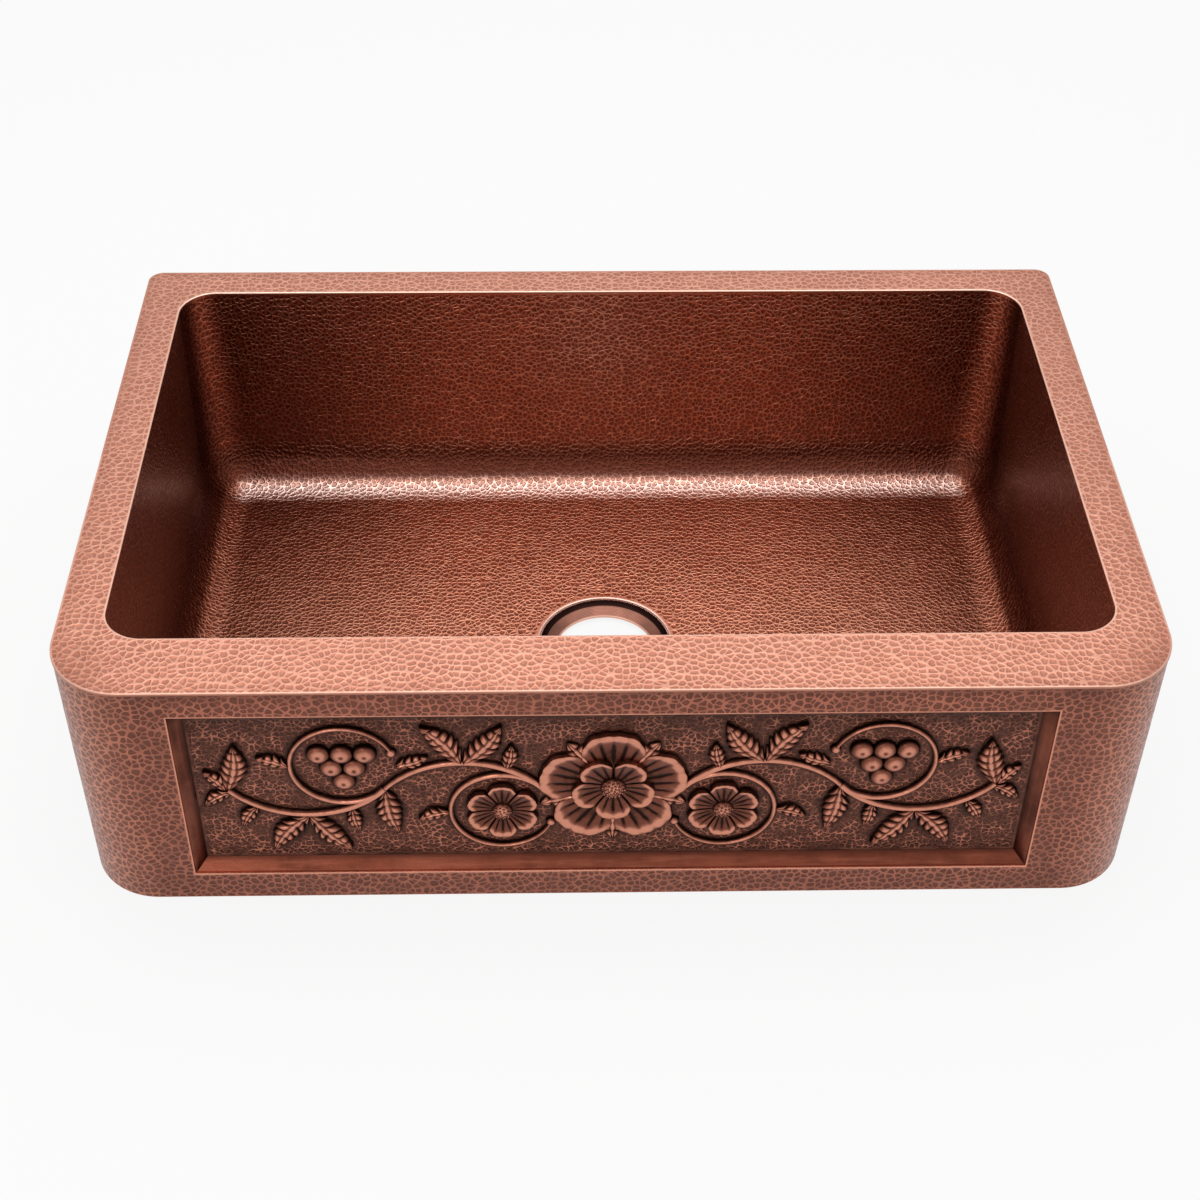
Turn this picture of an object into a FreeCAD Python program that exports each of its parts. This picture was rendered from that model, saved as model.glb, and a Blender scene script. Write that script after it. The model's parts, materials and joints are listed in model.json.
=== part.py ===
import FreeCAD, Part
import functools
import math
import os

# Farmhouse kitchen sink with an apron front, built up from formed and welded sheets of hammered copper.
# Millimetres. +X is to the right, +Y towards the wall and +Z up. The origin is the middle of the base,
# on the surface that the sink stands on.

# Overall size, over the deck
overall_width = 838.2
overall_depth = 558.8
overall_height = 228.6
front_corner_radius = 58.0
back_corner_radius = 13.0

# Sheet thicknesses
bowl_sheet = 1.6
skirt_sheet = 1.6
deck_sheet = 2.0
panel_sheet = 1.2
reveal_sheet = 1.2
seat_sheet = 2.0

# Deck, the flat rim round the bowl
front_rim = 59.5
side_rim = 35.5
back_rim = 35.0
deck_overhang = 0.6
deck_lip = 0.6
deck_top_bevel = 0.7

# Bowl
floor_height = 16.6
bowl_corner_radius = 32.0
cove_radius = 45.0
wall_seam_inset = 60.0

# Drain
drain_offset_y = 0.0
dish_radius = 130.0
dish_flat_radius = 74.0
dish_drop = 1.5
seat_mouth_radius = 58.5
seat_mouth_bevel = 0.9
seat_step_radius = 54.5
seat_step_depth = 4.6
seat_land_depth = 9.4
drain_radius = 44.5
drain_land = 2.0
seat_flange_width = 8.0

# Skirt: the apron with its rounded corners, the sides and the back drop
apron_tail = 40.0
skirt_bottom_bevel = 0.8
back_return = 30.0
back_drop = 32.0

# Recessed panel in the apron
window_side_margin = 89.7
window_top_margin = 24.2
window_bottom = 28.2
reveal_depth = 10.3
reveal_inset = 9.3
panel_lap = 9.0

# Foot rails and braces
rail_width = 25.0
rail_thickness = 3.0
brace_strap = 2.5
brace_width = 32.0
brace_height = 102.0
brace_bend = 1.8
front_brace_pitch = 230.0
side_brace_pitch = 220.0
back_brace_pitch = 360.0

# Relief on the panel: a rose in the middle and a scrolling vine to each side
relief_root = 0.5
rose_petals = 5
rose_outer_reach = 60.0
rose_outer_valley = 36.0
rose_outer_height = 3.6
rose_inner_reach = 34.0
rose_inner_valley = 20.0
rose_inner_height = 5.6
rose_boss = 10.5
rose_boss_height = 7.5
rose_sepal_length = 28.0
rose_sepal_width = 22.0
rose_sepal_root = 6.0
relief_clear = 2.0
vine_start = 55.0
vine_end_gap = 25.1
vine_rise = 28.0
vine_bays = 2
stem_width = 7.0
scroll_stem_width = 6.0
stem_height = 3.4
scroll_radius = 40.0
scroll_sweep = 300.0
leaf_length = 50.0
leaf_width = 24.0
leaf_edge_height = 2.0
leaf_midrib_height = 4.6
leaf_spread = 38.0
spur_leaf_lean = 100.0
end_leaf_length = 27.0
end_leaf_width = 15.0
bloom_petals = 6
bloom_reach = 30.0
bloom_valley = 20.0
bloom_height = 3.8
bloom_boss = 8.5
bloom_boss_height = 5.8
berry_radius = 9.4
berry_height = 5.4
berry_pitch = 17.5
berry_row_pitch = 14.5
berry_rows = (3, 2, 1)
berry_first_row = 12.5

# Places that follow from the sizes above
half_width = overall_width / 2
half_depth = overall_depth / 2
deck_under = overall_height - deck_sheet
skirt_inset = deck_overhang
skirt_inner_inset = deck_overhang + skirt_sheet
apron_face_y = -half_depth + deck_overhang
bowl_half_width = half_width - side_rim + deck_lip
bowl_front_y = -half_depth + front_rim - deck_lip
bowl_back_y = half_depth - back_rim + deck_lip
floor_low = floor_height - dish_drop
cove_top = floor_height + cove_radius
window_width = overall_width - 2 * window_side_margin
window_height = deck_under - window_top_margin - window_bottom
field_half_width = window_width / 2 - reveal_inset
field_half_height = window_height / 2 - reveal_inset
vine_half_wave = (field_half_width - vine_start - vine_end_gap) / vine_bays
panel_face_y = apron_face_y + reveal_depth
panel_middle_z = window_bottom + window_height / 2
far = 2000.0


def vec(x, y, z):
    return FreeCAD.Vector(x, y, z)


def save(name, shape):
    """Writes one sub-part, and stops on a solid that isn't sound."""
    for solid in shape.Solids:
        if not solid.isValid() or solid.Volume <= 0:
            raise ValueError("unsound solid in " + name)
    if not shape.Solids:
        raise ValueError("no solid in " + name)
    shape.exportStep(os.path.join("parts", name + ".step"))
    print(name, len(shape.Solids), round(sum(s.Volume for s in shape.Solids)))


def block(x0, x1, y0, y1, z0, z1):
    return Part.makeBox(x1 - x0, y1 - y0, z1 - z0, vec(x0, y0, z0))


def rounded_wire(x0, x1, y0, y1, radii, z):
    """A rectangle with a radius at each corner: front left, front right, back right, back left."""
    corners = [
        (x0, y0, 1, 1, radii[0]),
        (x1, y0, -1, 1, radii[1]),
        (x1, y1, -1, -1, radii[2]),
        (x0, y1, 1, -1, radii[3]),
    ]
    ends = []
    for index, (x, y, sx, sy, radius) in enumerate(corners):
        centre = vec(x + sx * radius, y + sy * radius, z)
        along_y = vec(x, centre.y, z)
        along_x = vec(centre.x, y, z)
        first, last = (along_y, along_x) if index % 2 == 0 else (along_x, along_y)
        middle = centre + vec(-sx, -sy, 0) * (radius * math.sqrt(0.5))
        ends.append((first, middle, last, radius))
    edges = []
    for index, (first, middle, last, radius) in enumerate(ends):
        if radius > 0:
            edges.append(Part.Arc(first, middle, last).toShape())
        start_of_next = ends[(index + 1) % len(ends)][0]
        edges.append(Part.LineSegment(last, start_of_next).toShape())
    return Part.Wire(edges)


def plan(inset, z0, z1):
    """The sink's plan outline, moved in by inset and raised from z0 to z1."""
    front = max(front_corner_radius - inset, 0)
    back = max(back_corner_radius - inset, 0)
    wire = rounded_wire(
        -half_width + inset,
        half_width - inset,
        -half_depth + inset,
        half_depth - inset,
        (front, front, back, back),
        z0,
    )
    return Part.Face(wire).extrude(vec(0, 0, z1 - z0))


def prism_z(points, z0, z1):
    """A polygon of (x, y) points raised from z0 to z1."""
    loop = [vec(x, y, z0) for x, y in points]
    return Part.Face(Part.makePolygon(loop + loop[:1])).extrude(vec(0, 0, z1 - z0))


def edges_at(shape, z):
    """The edges that lie level at height z."""
    return [e for e in shape.Edges if abs(e.BoundBox.ZMin - z) + abs(e.BoundBox.ZMax - z) < 1e-4]


# Bowl


def corner_cut_wire(z, cut, grow):
    """The bowl's plan outline at height z, with a triangle of side cut taken off each corner."""
    x = bowl_half_width + grow
    front = bowl_front_y - grow
    back = bowl_back_y + grow
    points = [
        (-x, front + cut),
        (-x + cut, front),
        (x - cut, front),
        (x, front + cut),
        (x, back - cut),
        (x - cut, back),
        (-x + cut, back),
        (-x, back - cut),
    ]
    loop = [vec(px, py, z) for px, py in points]
    return Part.makePolygon(loop + loop[:1])


def corner_cone(x, y, apex_z, spread, turn_x, turn_y):
    """The cone that touches both walls of a corner. Its apex is above the corner, and it opens downwards."""
    axis = vec(turn_x * spread, turn_y * spread, -1)
    slope = spread / math.sqrt(1 + spread * spread)
    near = (apex_z - deck_under) / 2
    length = 2 * (apex_z - cove_top)
    foot = vec(x, y, apex_z) + axis.normalize() * near
    cone = Part.makeCone(near * slope, (near + length) * slope, length, foot, axis)
    return cone.common(block(-far, far, -far, far, cove_top, deck_under))


def wall_block(grow):
    """The bowl above the coves, as a solid whose corners open out towards the floor."""
    low_cut = cove_radius + grow
    high_cut = bowl_corner_radius + grow
    spread = (low_cut - high_cut) / (deck_under - cove_top)
    apex_z = deck_under + high_cut / spread
    ends = [corner_cut_wire(cove_top, low_cut, grow), corner_cut_wire(deck_under, high_cut, grow)]
    body = Part.makeLoft(ends, True, True)
    cones = []
    for side in (-1, 1):
        x = side * (bowl_half_width + grow)
        cones.append(corner_cone(x, bowl_front_y - grow, apex_z, spread, -side, 1))
        cones.append(corner_cone(x, bowl_back_y + grow, apex_z, spread, -side, -1))
    return body.multiFuse(cones).removeSplitter()


def pan_block(grow):
    """The pan up to the top of its coves, as a solid with the dish under its floor."""
    base = floor_height - grow
    body = block(
        -bowl_half_width - grow,
        bowl_half_width + grow,
        bowl_front_y - grow,
        bowl_back_y + grow,
        base,
        overall_height,
    )
    upright = [e for e in body.Edges if e.BoundBox.ZLength > cove_radius]
    body = body.makeFillet(cove_radius + grow, upright + edges_at(body, base))
    body = body.common(block(-far, far, -far, far, -far, cove_top))
    middle = vec(0, drain_offset_y, base - dish_drop)
    dish = Part.makeCone(dish_flat_radius, dish_radius, dish_drop, middle)
    return body.fuse(dish).removeSplitter()


def bowl_floor():
    """The pan: floor, dish and coves, with the hole that the drain seat is welded under."""
    pan = pan_block(bowl_sheet).cut(pan_block(0))
    hole = Part.makeCylinder(seat_mouth_radius, far, vec(0, drain_offset_y, -far / 2))
    pan = pan.cut(hole)
    mouth = [e for e in edges_at(pan, floor_low) if from_drain(e) < seat_mouth_radius]
    return pan.makeChamfer(seat_mouth_bevel, mouth)


def from_drain(edge):
    middle = edge.CenterOfMass
    return math.hypot(middle.x, middle.y - drain_offset_y)


def bowl_walls():
    """Four wall sheets: flat front and back, and side sheets that turn both corners."""
    seam = bowl_half_width - wall_seam_inset
    walls = wall_block(bowl_sheet).cut(wall_block(0))
    return {
        "bowl_wall_front": walls.common(block(-seam, seam, -far, 0, 0, far)),
        "bowl_wall_back": walls.common(block(-seam, seam, 0, far, 0, far)),
        "bowl_wall_left": walls.common(block(-far, -seam, -far, far, 0, far)),
        "bowl_wall_right": walls.common(block(seam, far, -far, far, 0, far)),
    }


def drain_seat():
    """The spun ring under the floor: flange, step, dished ledge and the land of the drain hole."""
    flange_top = floor_low - bowl_sheet
    step = floor_low - seat_step_depth
    land = floor_low - seat_land_depth
    flange_radius = seat_mouth_radius + seat_flange_width
    profile = [
        (flange_radius, flange_top),
        (seat_mouth_radius, flange_top),
        (seat_step_radius, step),
        (drain_radius, land),
        (drain_radius, land - drain_land),
        (drain_radius + drain_land, land - drain_land),
        (seat_mouth_radius + seat_sheet / 2, flange_top - seat_sheet),
        (flange_radius, flange_top - seat_sheet),
    ]
    loop = [vec(r, drain_offset_y, z) for r, z in profile]
    section = Part.Face(Part.makePolygon(loop + loop[:1]))
    return section.revolve(vec(0, drain_offset_y, 0), vec(0, 0, 1), 360)


# Deck


def deck_ring():
    """The whole rim as one flat ring, with its upper edges eased."""
    ring = plan(0, deck_under, overall_height)
    inset = deck_lip
    corner = bowl_corner_radius - inset
    opening = Part.Face(
        rounded_wire(
            -bowl_half_width + inset,
            bowl_half_width - inset,
            bowl_front_y + inset,
            bowl_back_y - inset,
            (corner,) * 4,
            deck_under,
        )
    ).extrude(vec(0, 0, deck_sheet))
    ring = ring.cut(opening)
    return ring.makeChamfer(deck_top_bevel, edges_at(ring, overall_height))


def past(start, end, extra):
    """The point that lies beyond end by extra, on the line from start."""
    length = math.dist(start, end)
    return tuple(b + (b - a) * extra / length for a, b in zip(start, end))


def rim_strips():
    """The deck's four strips, which meet on mitres from the outer corners to the bowl's."""
    ring = deck_ring()
    left_in = -bowl_half_width + deck_lip
    front_in = bowl_front_y + deck_lip
    back_in = bowl_back_y - deck_lip
    outer = [
        (-half_width, -half_depth),
        (half_width, -half_depth),
        (half_width, half_depth),
        (-half_width, half_depth),
    ]
    inner = [
        (left_in, front_in),
        (-left_in, front_in),
        (-left_in, back_in),
        (left_in, back_in),
    ]
    inner = [past(start, end, bowl_corner_radius) for start, end in zip(outer, inner)]
    strips = {}
    for index, side in enumerate(("front", "right", "back", "left")):
        after = (index + 1) % 4
        corners = [outer[index], outer[after], inner[after], inner[index]]
        wedge = prism_z(corners, deck_under, overall_height)
        strips["rim_" + side] = ring.common(wedge)
    return strips


# Skirt


def skirt_ring():
    """The skirt all round, with its outer bottom edge eased."""
    outside = plan(skirt_inset, 0, deck_under)
    outside = outside.makeChamfer(skirt_bottom_bevel, edges_at(outside, 0))
    return outside.cut(plan(skirt_inner_inset, 0, deck_under))


def window_rectangle(depth, grow):
    """The recess's outline at a depth behind the apron's face, moved out by grow."""
    inset = reveal_inset * depth / reveal_depth - grow
    x = window_width / 2 - inset
    z0 = window_bottom + inset
    z1 = window_bottom + window_height - inset
    y = apron_face_y + depth
    loop = [vec(-x, y, z0), vec(x, y, z0), vec(x, y, z1), vec(-x, y, z1)]
    return Part.makePolygon(loop + loop[:1])


def recess(first_depth, last_depth, grow):
    """The tapering recess as a solid between two depths."""
    ends = [window_rectangle(first_depth, grow), window_rectangle(last_depth, grow)]
    return Part.makeLoft(ends, True, True)


def skirt_parts():
    ring = skirt_ring()
    seam = -half_depth + front_corner_radius + apron_tail
    tab = half_width - skirt_inset - back_return
    front = ring.common(block(-far, far, -far, seam, -far, far))
    rear = ring.common(block(-far, far, seam, far, -far, far))
    drop = block(-tab, tab, 0, far, deck_under - back_drop, far)
    return {
        "apron_front": front.cut(recess(-skirt_sheet, skirt_sheet * 2, 0)),
        "side_skirt_left": rear.common(block(-far, -tab, -far, far, -far, far)),
        "side_skirt_right": rear.common(block(tab, far, -far, far, -far, far)),
        "back_flange": rear.common(drop),
    }


def reveal_strips():
    """The four sloping strips between the apron's window and the panel, mitred at their corners."""
    slope = math.hypot(1, reveal_inset / reveal_depth)
    grown = reveal_sheet * slope
    frame = recess(skirt_sheet, reveal_depth, grown).cut(recess(skirt_sheet, reveal_depth, 0))
    x = window_width / 2
    z0 = window_bottom
    z1 = window_bottom + window_height
    out = 4 * reveal_sheet
    inward = window_height / 2
    low_left, low_right = (-x - out, z0 - out), (x + out, z0 - out)
    high_left, high_right = (-x - out, z1 + out), (x + out, z1 + out)
    middle_left, middle_right = (-x + inward, panel_middle_z), (x - inward, panel_middle_z)
    sectors = {
        "bottom": [low_left, low_right, middle_right, middle_left],
        "top": [high_left, high_right, middle_right, middle_left],
        "left": [low_left, middle_left, high_left],
        "right": [low_right, middle_right, high_right],
    }
    strips = {}
    for side, corners in sectors.items():
        loop = [vec(u, apron_face_y - 1, w) for u, w in corners]
        wedge = Part.Face(Part.makePolygon(loop + loop[:1])).extrude(vec(0, reveal_depth + 2, 0))
        strips["reveal_" + side] = frame.common(wedge)
    return strips


# Relief. It is drawn flat, in x and y with the height along z, and then stood up on the panel.


def placed(shape, x, y, angle=0):
    shape.rotate(vec(0, 0, 0), vec(0, 0, 1), angle)
    shape.translate(vec(x, y, 0))
    return shape


@functools.cache
def leaf_form(length, width):
    """A pointed leaf between two arcs, along X from its stalk end, which slopes up to its midrib."""
    side = width / 2
    root = vec(0, 0, -relief_root)
    tip = vec(length, 0, -relief_root)
    upper = Part.Arc(root, vec(length / 2, side, -relief_root), tip).toShape()
    lower = Part.Arc(tip, vec(length / 2, -side, -relief_root), root).toShape()
    footprint = Part.Face(Part.Wire([upper, lower])).extrude(vec(0, 0, leaf_midrib_height + relief_root))
    roof = [
        vec(0, -side, -relief_root),
        vec(0, side, -relief_root),
        vec(0, side, leaf_edge_height),
        vec(0, 0, leaf_midrib_height),
        vec(0, -side, leaf_edge_height),
    ]
    return footprint.common(Part.Face(Part.makePolygon(roof + roof[:1])).extrude(vec(length, 0, 0)))


def leaf(x, y, angle, length=leaf_length, width=leaf_width):
    return placed(leaf_form(length, width).copy(), x, y, angle)


def around(x, y, radius, angle):
    """The point at the relief's root on a circle about x, y."""
    turn = math.radians(angle)
    return vec(x + radius * math.cos(turn), y + radius * math.sin(turn), -relief_root)


def button(x, y, radius, height):
    """A round boss or berry."""
    return Part.makeCylinder(radius, height + relief_root, vec(x, y, -relief_root))


def lobed(x, y, petals, reach, valley, height, start):
    """A flower's row of petals: one round lobe after another, from valley radius out to reach and back."""
    step = 360 / petals
    valleys = [around(x, y, valley, start + (index - 0.5) * step) for index in range(petals)]
    edges = []
    for index in range(petals):
        tip = around(x, y, reach, start + index * step)
        edges.append(Part.Arc(valleys[index], tip, valleys[(index + 1) % petals]).toShape())
    return Part.Face(Part.Wire(edges)).extrude(vec(0, 0, height + relief_root))


def stem(x, y, radius, start, sweep, width):
    """A raised stem on a circular arc about x, y, from a start angle through a sweep."""
    section = [
        vec(radius - width / 2, 0, -relief_root),
        vec(radius + width / 2, 0, -relief_root),
        vec(radius + width / 2, 0, stem_height),
        vec(radius - width / 2, 0, stem_height),
    ]
    face = Part.Face(Part.makePolygon(section + section[:1]))
    return placed(face.revolve(vec(0, 0, 0), vec(0, 0, 1), sweep), x, y, start)


def rose():
    """Two rows of broad petals round a boss, with pointed sepals between the outer ones."""
    step = 360 / rose_petals
    pieces = [
        button(0, 0, rose_boss, rose_boss_height),
        lobed(0, 0, rose_petals, rose_outer_reach, rose_outer_valley, rose_outer_height, 90),
        lobed(0, 0, rose_petals, rose_inner_reach, rose_inner_valley, rose_inner_height, 90 + step / 2),
    ]
    for index in range(rose_petals):
        between = 90 + (index + 0.5) * step
        foot = around(0, 0, rose_outer_valley - rose_sepal_root, between)
        pieces.append(leaf(foot.x, foot.y, between, rose_sepal_length, rose_sepal_width))
    return pieces


def bloom(x, y):
    """A small flower of round petals with a boss."""
    petals = lobed(x, y, bloom_petals, bloom_reach, bloom_valley, bloom_height, 90)
    return [petals, button(x, y, bloom_boss, bloom_boss_height)]


def berries(x, y):
    """A hanging bunch of berries, row under row."""
    pieces = []
    for row, count in enumerate(berry_rows):
        row_y = y + berry_first_row - row * berry_row_pitch
        for index in range(count):
            across = (index - (count - 1) / 2) * berry_pitch
            pieces.append(button(x + across, row_y, berry_radius, berry_height))
    return pieces


def vine():
    """The right-hand vine: half waves of stem, each with leaves and a scroll that curls round its filling."""
    half = vine_half_wave / 2
    radius = (half * half + vine_rise * vine_rise) / (2 * vine_rise)
    half_angle = math.degrees(math.asin(half / radius))
    end = vine_start
    pieces = []
    for bay in range(vine_bays):
        side = 1 if bay % 2 == 0 else -1
        x = end + half
        end = x + half
        middle_y = side * (vine_rise - radius)
        pieces.append(stem(x, middle_y, radius, 90 * side - half_angle, 2 * half_angle, stem_width))
        for tilt in (-leaf_spread, leaf_spread):
            pieces.append(leaf(x, vine_rise * side, 90 * side + tilt))
        pieces.append(leaf(end, 0, -spur_leaf_lean * side))
        branch = around(x, middle_y, radius - scroll_radius, (90 + half_angle) * side)
        pieces.append(scroll(branch.x, branch.y, (90 + half_angle) * side, side))
        fill = berries if bay == vine_bays - 1 else bloom
        pieces.extend(fill(branch.x, branch.y))
    pieces.append(leaf(end, 0, half_angle * (-1) ** vine_bays, end_leaf_length, end_leaf_width))
    return pieces


def scroll(x, y, start, side):
    """The branch that leaves the main stem at its start angle and curls on round x, y."""
    first = start - scroll_sweep if side > 0 else start
    return stem(x, y, scroll_radius, first, scroll_sweep, scroll_stem_width)


def relief_panel():
    """The panel's sheet with the whole relief raised from its face, clear of the reveals round it."""
    half_x = field_half_width + panel_lap
    half_y = field_half_height + panel_lap
    right = block(0, half_x, -half_y, half_y, -panel_sheet, 0).multiFuse(vine())
    left = right.mirror(vec(0, 0, 0), vec(1, 0, 0))
    panel = right.multiFuse([left] + rose()).removeSplitter()
    clear_x = field_half_width - relief_clear
    clear_y = field_half_height - relief_clear
    border = block(-far, far, -far, far, 0, far).cut(block(-clear_x, clear_x, -clear_y, clear_y, 0, far))
    panel = panel.cut(border)
    panel.rotate(vec(0, 0, 0), vec(1, 0, 0), 90)
    panel.translate(vec(0, panel_face_y, panel_middle_z))
    return panel


# Foot rails and braces


def foot_rails():
    """Flat bars inside the skirt's bottom edge, and one across the back. The sink stands on them."""
    inner = skirt_inner_inset + rail_width
    ring = plan(skirt_inner_inset, 0, rail_thickness).cut(plan(inner, 0, rail_thickness))
    front_end = -half_depth + front_corner_radius
    back_end = half_depth - inner
    return {
        "foot_rail_front": ring.common(block(-far, far, -far, front_end, -1, far)),
        "foot_rail_back": ring.common(block(-far, far, back_end, far, -1, far)),
        "foot_rail_left": ring.common(block(-far, 0, front_end, back_end, -1, far)),
        "foot_rail_right": ring.common(block(0, far, front_end, back_end, -1, far)),
    }


def brace(gap):
    """An angle on a foot rail: it reaches from the skirt, at x 0, over the gap and up the bowl's wall."""
    foot = rail_thickness
    points = [
        vec(0, 0, foot),
        vec(gap, 0, foot),
        vec(gap, 0, brace_height),
        vec(gap - brace_strap, 0, brace_height),
        vec(gap - brace_strap, 0, foot + brace_strap),
        vec(0, 0, foot + brace_strap),
    ]
    solid = Part.Face(Part.makePolygon(points + points[:1])).extrude(vec(0, brace_width, 0))
    solid.translate(vec(0, -brace_width / 2, 0))
    bend = [e for e in solid.Edges if abs(e.CenterOfMass.x - gap) + abs(e.CenterOfMass.z - foot) < 1e-4]
    return solid.makeChamfer(brace_bend, bend)


def braces():
    skirt_x = half_width - skirt_inner_inset
    skirt_front = -half_depth + skirt_inner_inset
    skirt_back = half_depth - skirt_inner_inset
    side_gap = skirt_x - bowl_half_width - bowl_sheet
    front_gap = bowl_front_y - bowl_sheet - skirt_front
    back_gap = skirt_back - bowl_back_y - bowl_sheet
    middle_y = (bowl_front_y + bowl_back_y) / 2
    found = {"front_braces": [], "back_braces": [], "left_braces": [], "right_braces": []}
    for step in (-1, 0, 1):
        found["front_braces"].append(turned(brace(front_gap), 90, step * front_brace_pitch, skirt_front))
    for step in (-0.5, 0.5):
        found["back_braces"].append(turned(brace(back_gap), -90, step * back_brace_pitch, skirt_back))
        along = middle_y + step * side_brace_pitch
        found["left_braces"].append(turned(brace(side_gap), 0, -skirt_x, along))
        found["right_braces"].append(turned(brace(side_gap), 180, skirt_x, along))
    return {name: Part.makeCompound(solids) for name, solids in found.items()}


def turned(shape, angle, x, y):
    shape.rotate(vec(0, 0, 0), vec(0, 0, 1), angle)
    shape.translate(vec(x, y, 0))
    return shape


def main():
    os.makedirs("parts", exist_ok=True)
    parts = {"bowl_floor": bowl_floor(), "drain_seat": drain_seat(), "relief_panel": relief_panel()}
    for group in (bowl_walls, rim_strips, skirt_parts, reveal_strips, foot_rails, braces):
        parts.update(group())
    for name, shape in parts.items():
        save(name, shape)


main()
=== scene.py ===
import json
import math

import bmesh
import bpy
import numpy as np
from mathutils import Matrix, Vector
from mathutils.kdtree import KDTree


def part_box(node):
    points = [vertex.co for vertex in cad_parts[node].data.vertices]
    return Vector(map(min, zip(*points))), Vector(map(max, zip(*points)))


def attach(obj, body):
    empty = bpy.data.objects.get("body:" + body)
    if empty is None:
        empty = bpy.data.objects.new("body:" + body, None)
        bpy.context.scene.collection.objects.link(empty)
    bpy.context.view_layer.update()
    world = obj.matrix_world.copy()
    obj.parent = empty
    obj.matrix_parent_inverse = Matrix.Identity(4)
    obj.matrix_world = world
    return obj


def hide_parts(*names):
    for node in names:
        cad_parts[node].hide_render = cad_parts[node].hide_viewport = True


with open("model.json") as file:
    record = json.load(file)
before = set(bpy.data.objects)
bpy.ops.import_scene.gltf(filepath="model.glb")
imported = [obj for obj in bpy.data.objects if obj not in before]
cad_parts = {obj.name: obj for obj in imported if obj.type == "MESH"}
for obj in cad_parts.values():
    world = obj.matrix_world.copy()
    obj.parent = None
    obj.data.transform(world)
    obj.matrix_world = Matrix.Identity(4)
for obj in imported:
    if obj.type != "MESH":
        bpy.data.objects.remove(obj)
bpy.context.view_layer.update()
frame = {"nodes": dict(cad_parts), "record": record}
print("frame loaded:", len(frame["nodes"]), "nodes")

# Sizes that several pieces share, in metres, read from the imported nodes
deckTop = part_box("rim_front")[1].z
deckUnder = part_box("rim_front")[0].z
deckLow = Vector((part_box("rim_left")[0].x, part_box("rim_front")[0].y, 0))
deckHigh = Vector((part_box("rim_right")[1].x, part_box("rim_back")[1].y, 0))
wallSheet = 0.0016
bowl = {"cornerTop": 0.032, "cornerLow": 0.045, "lip": 0.0006, "cove": 0.045, "seam": 0.060}
bowlLow = Vector(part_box("bowl_floor")[0]) + Vector((wallSheet, wallSheet, 0))
bowlHigh = Vector(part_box("bowl_floor")[1]) - Vector((wallSheet, wallSheet, 0))
coveTop = bowlHigh.z
floorTop = coveTop - bowl["cove"]
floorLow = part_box("drain_seat")[1].z + wallSheet
skirtLow = Vector(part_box("apron_front")[0])
skirtHigh = Vector((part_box("apron_front")[1].x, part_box("back_flange")[1].y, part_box("apron_front")[1].z))


# Small helpers for modelling


def startFresh():
    if bpy.context.object and bpy.context.object.mode != "OBJECT":
        bpy.ops.object.mode_set(mode="OBJECT")
    bpy.ops.object.select_all(action="DESELECT")


def makeActive(piece):
    startFresh()
    piece.select_set(True)
    bpy.context.view_layer.objects.active = piece


def edit(piece):
    makeActive(piece)
    bpy.ops.object.mode_set(mode="EDIT")


def leaveEdit():
    bpy.ops.object.mode_set(mode="OBJECT")


def selectAll():
    bpy.ops.mesh.select_all(action="SELECT")


def alignNormals(inside=False):
    selectAll()
    bpy.ops.mesh.normals_make_consistent(inside=inside)


def flip(piece):
    edit(piece)
    selectAll()
    bpy.ops.mesh.flip_normals()
    leaveEdit()


def upwardArea(piece):
    return sum(f.normal.z * f.area for f in piece.data.polygons)


def centreOf(face):
    return face.calc_center_median()


def choose(piece, kind, test):
    # selects, in edit mode, what passes the test; kind is VERT, EDGE or FACE
    bpy.ops.mesh.select_mode(type=kind)
    bpy.ops.mesh.select_all(action="DESELECT")
    mesh = bmesh.from_edit_mesh(piece.data)
    found = {"VERT": mesh.verts, "EDGE": mesh.edges, "FACE": mesh.faces}[kind]
    count = 0
    for item in found:
        if test(item):
            item.select_set(True)
            count += 1
    mesh.select_flush_mode()
    bmesh.update_edit_mesh(piece.data)
    return count


def middle(edge):
    return (edge.verts[0].co + edge.verts[1].co) / 2


def span(edge):
    return edge.verts[1].co - edge.verts[0].co


def settle(piece):
    # puts the object's place into its mesh
    makeActive(piece)
    bpy.ops.object.transform_apply(location=True, rotation=True, scale=True)


def applyModifier(piece, modifier):
    makeActive(piece)
    bpy.ops.object.modifier_apply(modifier=modifier.name)


def smooth(piece, angle=35):
    makeActive(piece)
    bpy.ops.object.shade_smooth_by_angle(angle=math.radians(angle))


def roundedOutline(name, low, high, radii, steps, z):
    # a closed outline with rounded corners: a plane whose corners are bevelled, then kept as edges only
    startFresh()
    centre = ((low.x + high.x) / 2, (low.y + high.y) / 2, z)
    bpy.ops.mesh.primitive_plane_add(size=1, location=centre)
    piece = bpy.context.object
    piece.name = name
    piece.scale = (high.x - low.x, high.y - low.y, 1)
    settle(piece)
    edit(piece)
    corners = [
        (low.x, low.y, radii[0], steps[0]),
        (high.x, low.y, radii[0], steps[0]),
        (high.x, high.y, radii[1], steps[1]),
        (low.x, high.y, radii[1], steps[1]),
    ]
    for x, y, radius, count in corners:
        choose(piece, "VERT", lambda v: abs(v.co.x - x) + abs(v.co.y - y) < 1e-6)
        bpy.ops.mesh.bevel(offset=radius, segments=count, affect="VERTICES", offset_type="OFFSET")
    selectAll()
    bpy.ops.mesh.delete(type="ONLY_FACE")
    leaveEdit()
    return piece


def joined(first, *others):
    startFresh()
    for piece in others:
        piece.select_set(True)
    first.select_set(True)
    bpy.context.view_layer.objects.active = first
    bpy.ops.object.join()
    return first


def mainAxis(edge):
    return max(range(3), key=lambda axis: abs(span(edge)[axis]))


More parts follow.
